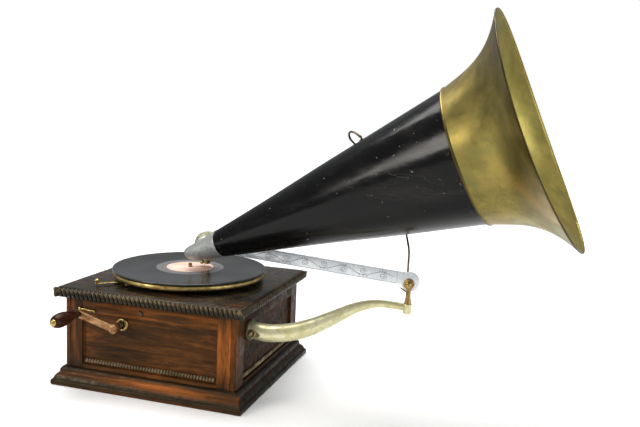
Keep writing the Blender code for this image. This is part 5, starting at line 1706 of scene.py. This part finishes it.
@dataclass(frozen=True)
class TravellingArm:
    """The flat engraved bar between the swivel and the soundbox, and the cast elbow."""

    front: float = 4.0
    back: float = 7.0
    width: float = 20.0
    rise: float = 0.0479
    mid_z: float = 199.5
    tab_r: float = 15.0
    tab_z: float = 196.5
    box_x: float = -352.5
    box_z: float = 212.0
    ring_r: float = 17.6

    def meets(self, centre: Point2, radius: float, offset: float, side: float) -> float:
        """Angle at which an edge of the bar meets a round end.

        Args:
            centre: the end's middle.
            radius: the end's radius.
            offset: the edge's distance from the bar's middle line.
            side: which of the two meeting points, 1 or -1.

        Returns:
            The angle round the end, in radians.
        """
        heading = Vector((-1.0, self.rise)).normalized()
        away = Vector((0.0, self.mid_z + offset)) - Vector(centre)
        near = away - heading * away.dot(heading)
        point = near - heading * sqrt(radius ** 2 - near.length_squared) * side
        return atan2(point.y, point.x)

    def build(self) -> None:
        """Make the bar, its engraving and the elbow."""
        tab, ring = (0.0, self.tab_z), (self.box_x, self.box_z)
        ends = []
        for centre, radius, side in ((tab, self.tab_r, -1.0), (ring, self.ring_r, 1.0)):
            upper, lower = (self.meets(centre, radius, offset, side) for offset in (self.width / 2,
                -self.width / 2))
            first, last = (lower, upper) if side < 0 else (upper, lower + 2 * pi)
            for i in range(49):
                angle = first + (last - first) * i / 48
                ends.append((centre[0] + radius * cos(angle), centre[1] + radius * sin(angle)))
        shape = Shape().slab(ends, self.front, self.back, 0.45, UPRIGHT).move(ARM)
        # The bar's near-white colour is a painted reflection of the white surround.
        shape.piece("engraved_bar", Finishes.bar_nickel_painted_reflection, "arm", ("travelling_arm",), "bright_nickel", 30.0)
        self.engrave()
        self.make_elbow()

    def on_bar(self, along: float, across: float) -> Vector:
        """A point on the bar's front face.

        Args:
            along: distance from the pivot.
            across: height above the bar's middle line.

        Returns:
            The point in the travelling arm's frame.
        """
        return Vector((-along, self.front - 0.02, self.mid_z + self.rise * along + across))

    def engrave(self) -> None:
        """Plain leafy scrolls and two border lines, cut along the bar."""
        shape = Shape()
        first, length, waves, sway = 26.0, 292.0, 4.5, 4.6
        stem = [self.on_bar(first + length * i / 180, sway * sin(2 * pi * waves * i / 180))
            for i in range(181)]
        shape.rod(stem, 0.42, 1)
        for i in range(9):
            middle = first + length * (i + 0.5) / 9
            way = 1.0 if i % 2 == 0 else -1.0
            coil = []
            for k in range(41):
                radius = 5.0 - 4.0 * k / 40
                angle = way * (pi * 0.55 + 3.3 * pi * k / 40)
                coil.append(self.on_bar(middle + radius * 1.25 * cos(angle), radius * sin(angle) - way * 1.2))
            shape.rod(coil, 0.38, 1)
            for lean in (-0.6, 0.0, 0.6):
                leaf = [self.on_bar(middle + 9.0 * lean + 3.4 * k / 8 * cos(1.2 + lean) * way,
                    way * (5.4 + 2.2 * sin(pi * k / 8) - 1.2 * abs(lean))) for k in range(9)]
                shape.rod(leaf, 0.34, 1)
        border = 8.6
        for across in (-border, border):
            shape.rod([self.on_bar(along, across) for along in (20.0, 120.0, 220.0, 330.0)], 0.24, 1)
        shape.rod([self.on_bar(20.0, across) for across in (-border, 0.0, border)], 0.24, 1)
        shape.move(ARM).piece("bar_engraving", Finishes.cut_line, "arm", (), "bright_nickel")

    def make_elbow(self) -> None:
        """The cast elbow that turns from the cone into the soundbox."""
        x, z = self.box_x, self.box_z
        taper = ((-5.6, 0.0, 22.4), (-5.2, 0.0, 22.9), (-1.0, 0.0, 22.4), (4.5, 0.0, 20.9), (14.0, 0.2, 19.1),
            (27.0, 0.4, 16.9), (38.0, 0.8, 14.8), (46.0, 1.1, 13.2), (53.0, 1.5, 11.8), (59.0, 2.2, 9.9),
            (63.0, 3.2, 7.1), (65.3, 3.8, 3.2))
        centres = smooth_line([HORN_START - HORN_AXIS * along + Vector((0.0, 0.0, up)) for along, up,
            _ in taper], 4)
        radii = smooth_line([(radius, 0.0, 0.0) for _, _, radius in taper], 4)
        shape = Shape().loft([(centre, -HORN_AXIS, radius.x) for centre, radius in zip(centres, radii)], 64)
        ahead = Vector((0.0, 1.0, 0.0))
        neck = ((-22.0, 208.6, 9.0), (-14.0, 209.6, 12.6), (-8.0, 211.0, 14.2), (-3.0, 212.0, 14.8),
            (0.6, 212.0, 14.8), (0.8, z, 13.0), (9.8, z, 13.0))
        shape.loft([(Vector((x, y, height)), ahead, radius) for y, height, radius in neck], 56)
        shape.move(ARM).piece("elbow_casting", Finishes.pot_metal, "arm", ("horn_elbow",), "pot_metal", 55.0)


@dataclass(frozen=True)
class Soundbox:
    """The soundbox: shell, clamping ring, diaphragm, stylus bar, needle and thumb screw."""

    x: float = -352.5
    z: float = 212.0
    r: float = 25.5
    neck: float = 13.3
    needle_y: float = 14.4

    def build(self) -> None:
        """Make the soundbox's pieces."""
        hub = aim((self.x, 0.0, self.z), (0, 1, 0))
        r = self.r
        outline = [(self.neck, 7.3), (15.2, 7.3), (15.4, 9.6), (16.4, 10.2), (r - 2.2, 10.4), (r - 0.7, 10.9),
            (r, 12.0), (r, 13.8), (r - 0.5, 14.3), (r - 2.0, 14.3), (r - 2.0, 12.3), (8.0, 12.3), (8.0, 10.5),
            (self.neck, 10.5)]
        Shape().turn(outline, 72, hub).move(ARM).piece("box_shell", Finishes.box_nickel, "soundbox",
            ("soundbox_back",), "soundbox_nickel")
        outline = [(19.0, 15.3), (r, 15.3), (r, 16.6), (r - 0.7, 17.5), (r - 1.8, 17.9), (20.4, 17.9),
            (19.4, 17.5), (19.0, 16.8)]
        shape = Shape().turn(outline, 72, hub)
        for i in range(3):
            angle = radians(30 + 120 * i)
            place = hub @ Matrix.Translation((22.3 * cos(angle), 22.3 * sin(angle), 0.0))
            shape.turn([(0.0, 17.0), (1.8, 17.0), (1.8, 18.6), (1.2, 19.2), (0.0, 19.3)], 20, place)
        shape.move(ARM).piece("box_ring", Finishes.box_nickel, "soundbox", ("soundbox_ring",),
            "soundbox_nickel")
        self.make_stylus()
        dress({"diaphragm": Finishes.mica, "needle": Finishes.steel})

    def make_stylus(self) -> None:
        """The stylus bar with its needle clamp, and the thumb screw."""
        x, z = self.x, self.z
        shape = Shape().box((x - 5.2, 11.4, 181.0), (x + 1.8, 20.2, 186.0), 1.0, 3)
        bar = [(Vector((x, 19.3, z0)), Vector((0, 0, 1)), r0) for z0,
            r0 in ((183.0, 1.7), (190.0, 1.5), (200.0, 1.1), (z, 0.9))]
        shape.loft(bar, 16)
        shape.rod([(x, 20.0, z), (x, 15.3, z)], 0.9, 3)
        shape.move(ARM).piece("stylus_lever", Finishes.screw_brass, "soundbox", ("stylus_bar",),
            "brown_brass")
        place = aim((x - 5.2, self.needle_y, 183.4), (-1, 0, 0))
        outline = [(0.0, 0.0), (1.0, 0.0), (1.0, 2.4), (1.9, 2.7), (2.1, 3.2), (3.0, 3.8), (3.25, 4.6),
            (3.25, 7.0), (3.0, 7.8), (2.0, 8.6), (0.0, 8.8)]
        shape = Shape().turn(outline, 28, place)
        for i in range(18):
            angle = 2 * pi * i / 18
            shape.box((3.0, -0.22, 4.6), (3.5, 0.22, 7.2), 0.0, 1, place @ Matrix.Rotation(angle, 4, "Z"))
        shape.move(ARM).piece("thumb_screw", Finishes.screw_brass, "needle_clamp", ("needle_screw",),
            "brown_brass")


# ------------------------------------------------------------------ studio


@dataclass(frozen=True)
class Studio:
    """Camera, soft lights and a pale floor."""

    lens: float = 41.96
    eye: tuple[float, float, float] = (555.7, -1119.0, 453.4)
    yaw: float = 16.52
    pitch: float = 8.16
    roll: float = 2.52
    room: Colour = (0.26, 0.27, 0.28)
    floor_r: float = 9.0

    def build(self) -> None:
        """Set everything up."""
        self.make_camera()
        self.make_lights()
        self.make_floor()
        bpy.context.scene.view_settings.view_transform = "Standard"

    def make_camera(self) -> None:
        """The camera, from its heading, tilt and roll."""
        yaw, pitch, roll = radians(self.yaw), radians(self.pitch), radians(self.roll)
        ahead = Vector((-sin(yaw) * cos(pitch), cos(yaw) * cos(pitch), -sin(pitch)))
        right = Vector((cos(yaw), sin(yaw), 0.0))
        up = right.cross(ahead)
        side = right * cos(roll) + up * sin(roll)
        top = up * cos(roll) - right * sin(roll)
        data = bpy.data.cameras.new("camera")
        data.lens = self.lens
        data.sensor_width = 36.0
        camera = bpy.data.objects.new("camera", data)
        bpy.context.scene.collection.objects.link(camera)
        camera.matrix_world = Matrix.Translation(Vector(self.eye) * MM) @ Matrix((side, top,
            -ahead)).transposed().to_4x4()
        bpy.context.scene.camera = camera

    def make_lights(self) -> None:
        """Large soft lights over a white surround."""
        target = Vector((0.12, 0.0, 0.2))
        lamps = (("overhead", (-0.2, 0.4, 2.0), 1.6, 50.0, (1.0, 0.99, 0.97)),
            ("front_left", (-1.3, -1.7, 1.1), 0.8, 26.0, (1.0, 0.95, 0.88)),
            ("right", (2.4, -0.7, 1.0), 1.7, 26.0, (0.95, 0.97, 1.0)))
        for name, place, size, power, colour in lamps:
            data = bpy.data.lights.new(name, "AREA")
            data.shape = "SQUARE"
            data.size = size
            data.energy = power
            data.color = colour
            lamp = bpy.data.objects.new(name, data)
            bpy.context.scene.collection.objects.link(lamp)
            lamp.location = place
            lamp.rotation_mode = "QUATERNION"
            lamp.rotation_quaternion = (target - Vector(place)).to_track_quat("-Z", "Y")
        world = bpy.data.worlds.new("surround")
        world.use_nodes = True
        graph = Graph(world.node_tree)
        seen = graph.add("ShaderNodeLightPath").outputs["Is Camera Ray"]
        graph.put(world.node_tree.nodes["Background"].inputs["Color"],
            graph.mix(seen, self.room, (1.0, 1.0, 1.0)))
        bpy.context.scene.world = world

    def make_floor(self) -> None:
        """A wide pale floor that fades into the surround."""
        bm = bmesh.new()
        bmesh.ops.create_circle(bm, cap_ends=True, segments=96, radius=self.floor_r)
        mesh = bpy.data.meshes.new("floor")
        bm.to_mesh(mesh)
        bm.free()
        floor = bpy.data.objects.new("floor", mesh)
        bpy.context.scene.collection.objects.link(floor)
        material, graph, shader = start_material("pale_floor")
        tone = graph.fade(graph.noise(graph.place(), 3.0, 3.0), 0.3, 0.7)
        graph.put(shader.inputs["Base Color"], graph.mix(tone, (0.90, 0.90, 0.90), (0.93, 0.93, 0.93)))
        shader.inputs["Roughness"].default_value = 0.8
        shader.inputs["Specular IOR Level"].default_value = 0.1
        node = graph.add("ShaderNodeVectorMath", operation="LENGTH")
        graph.put(node.inputs[0], graph.place())
        far = graph.fade(node.outputs["Value"], 0.5, 2.2)
        near = graph.sum("ADD", graph.times(far, 0.88), 0.12)
        glow = graph.times(near, graph.add("ShaderNodeLightPath").outputs["Is Camera Ray"])
        graph.put(shader.inputs["Emission Color"], graph.mix(glow, (0.0, 0.0, 0.0), (1.0, 1.0, 1.0)))
        shader.inputs["Emission Strength"].default_value = 1.0
        mesh.materials.append(material)


def main() -> None:
    """Build every sub-assembly and the studio."""
    logging.basicConfig(level=logging.INFO, format="%(name)s: %(message)s")
    for part in (Case(), Turntable(), Motor(), Crank(), Brake(), FrontFittings(), SupportArm(), Swivel(),
            Horn(), TravellingArm(), Soundbox(), Studio()):
        part.build()
        LOG.info("%s done", type(part).__name__)


if __name__ == "__main__":
    main()
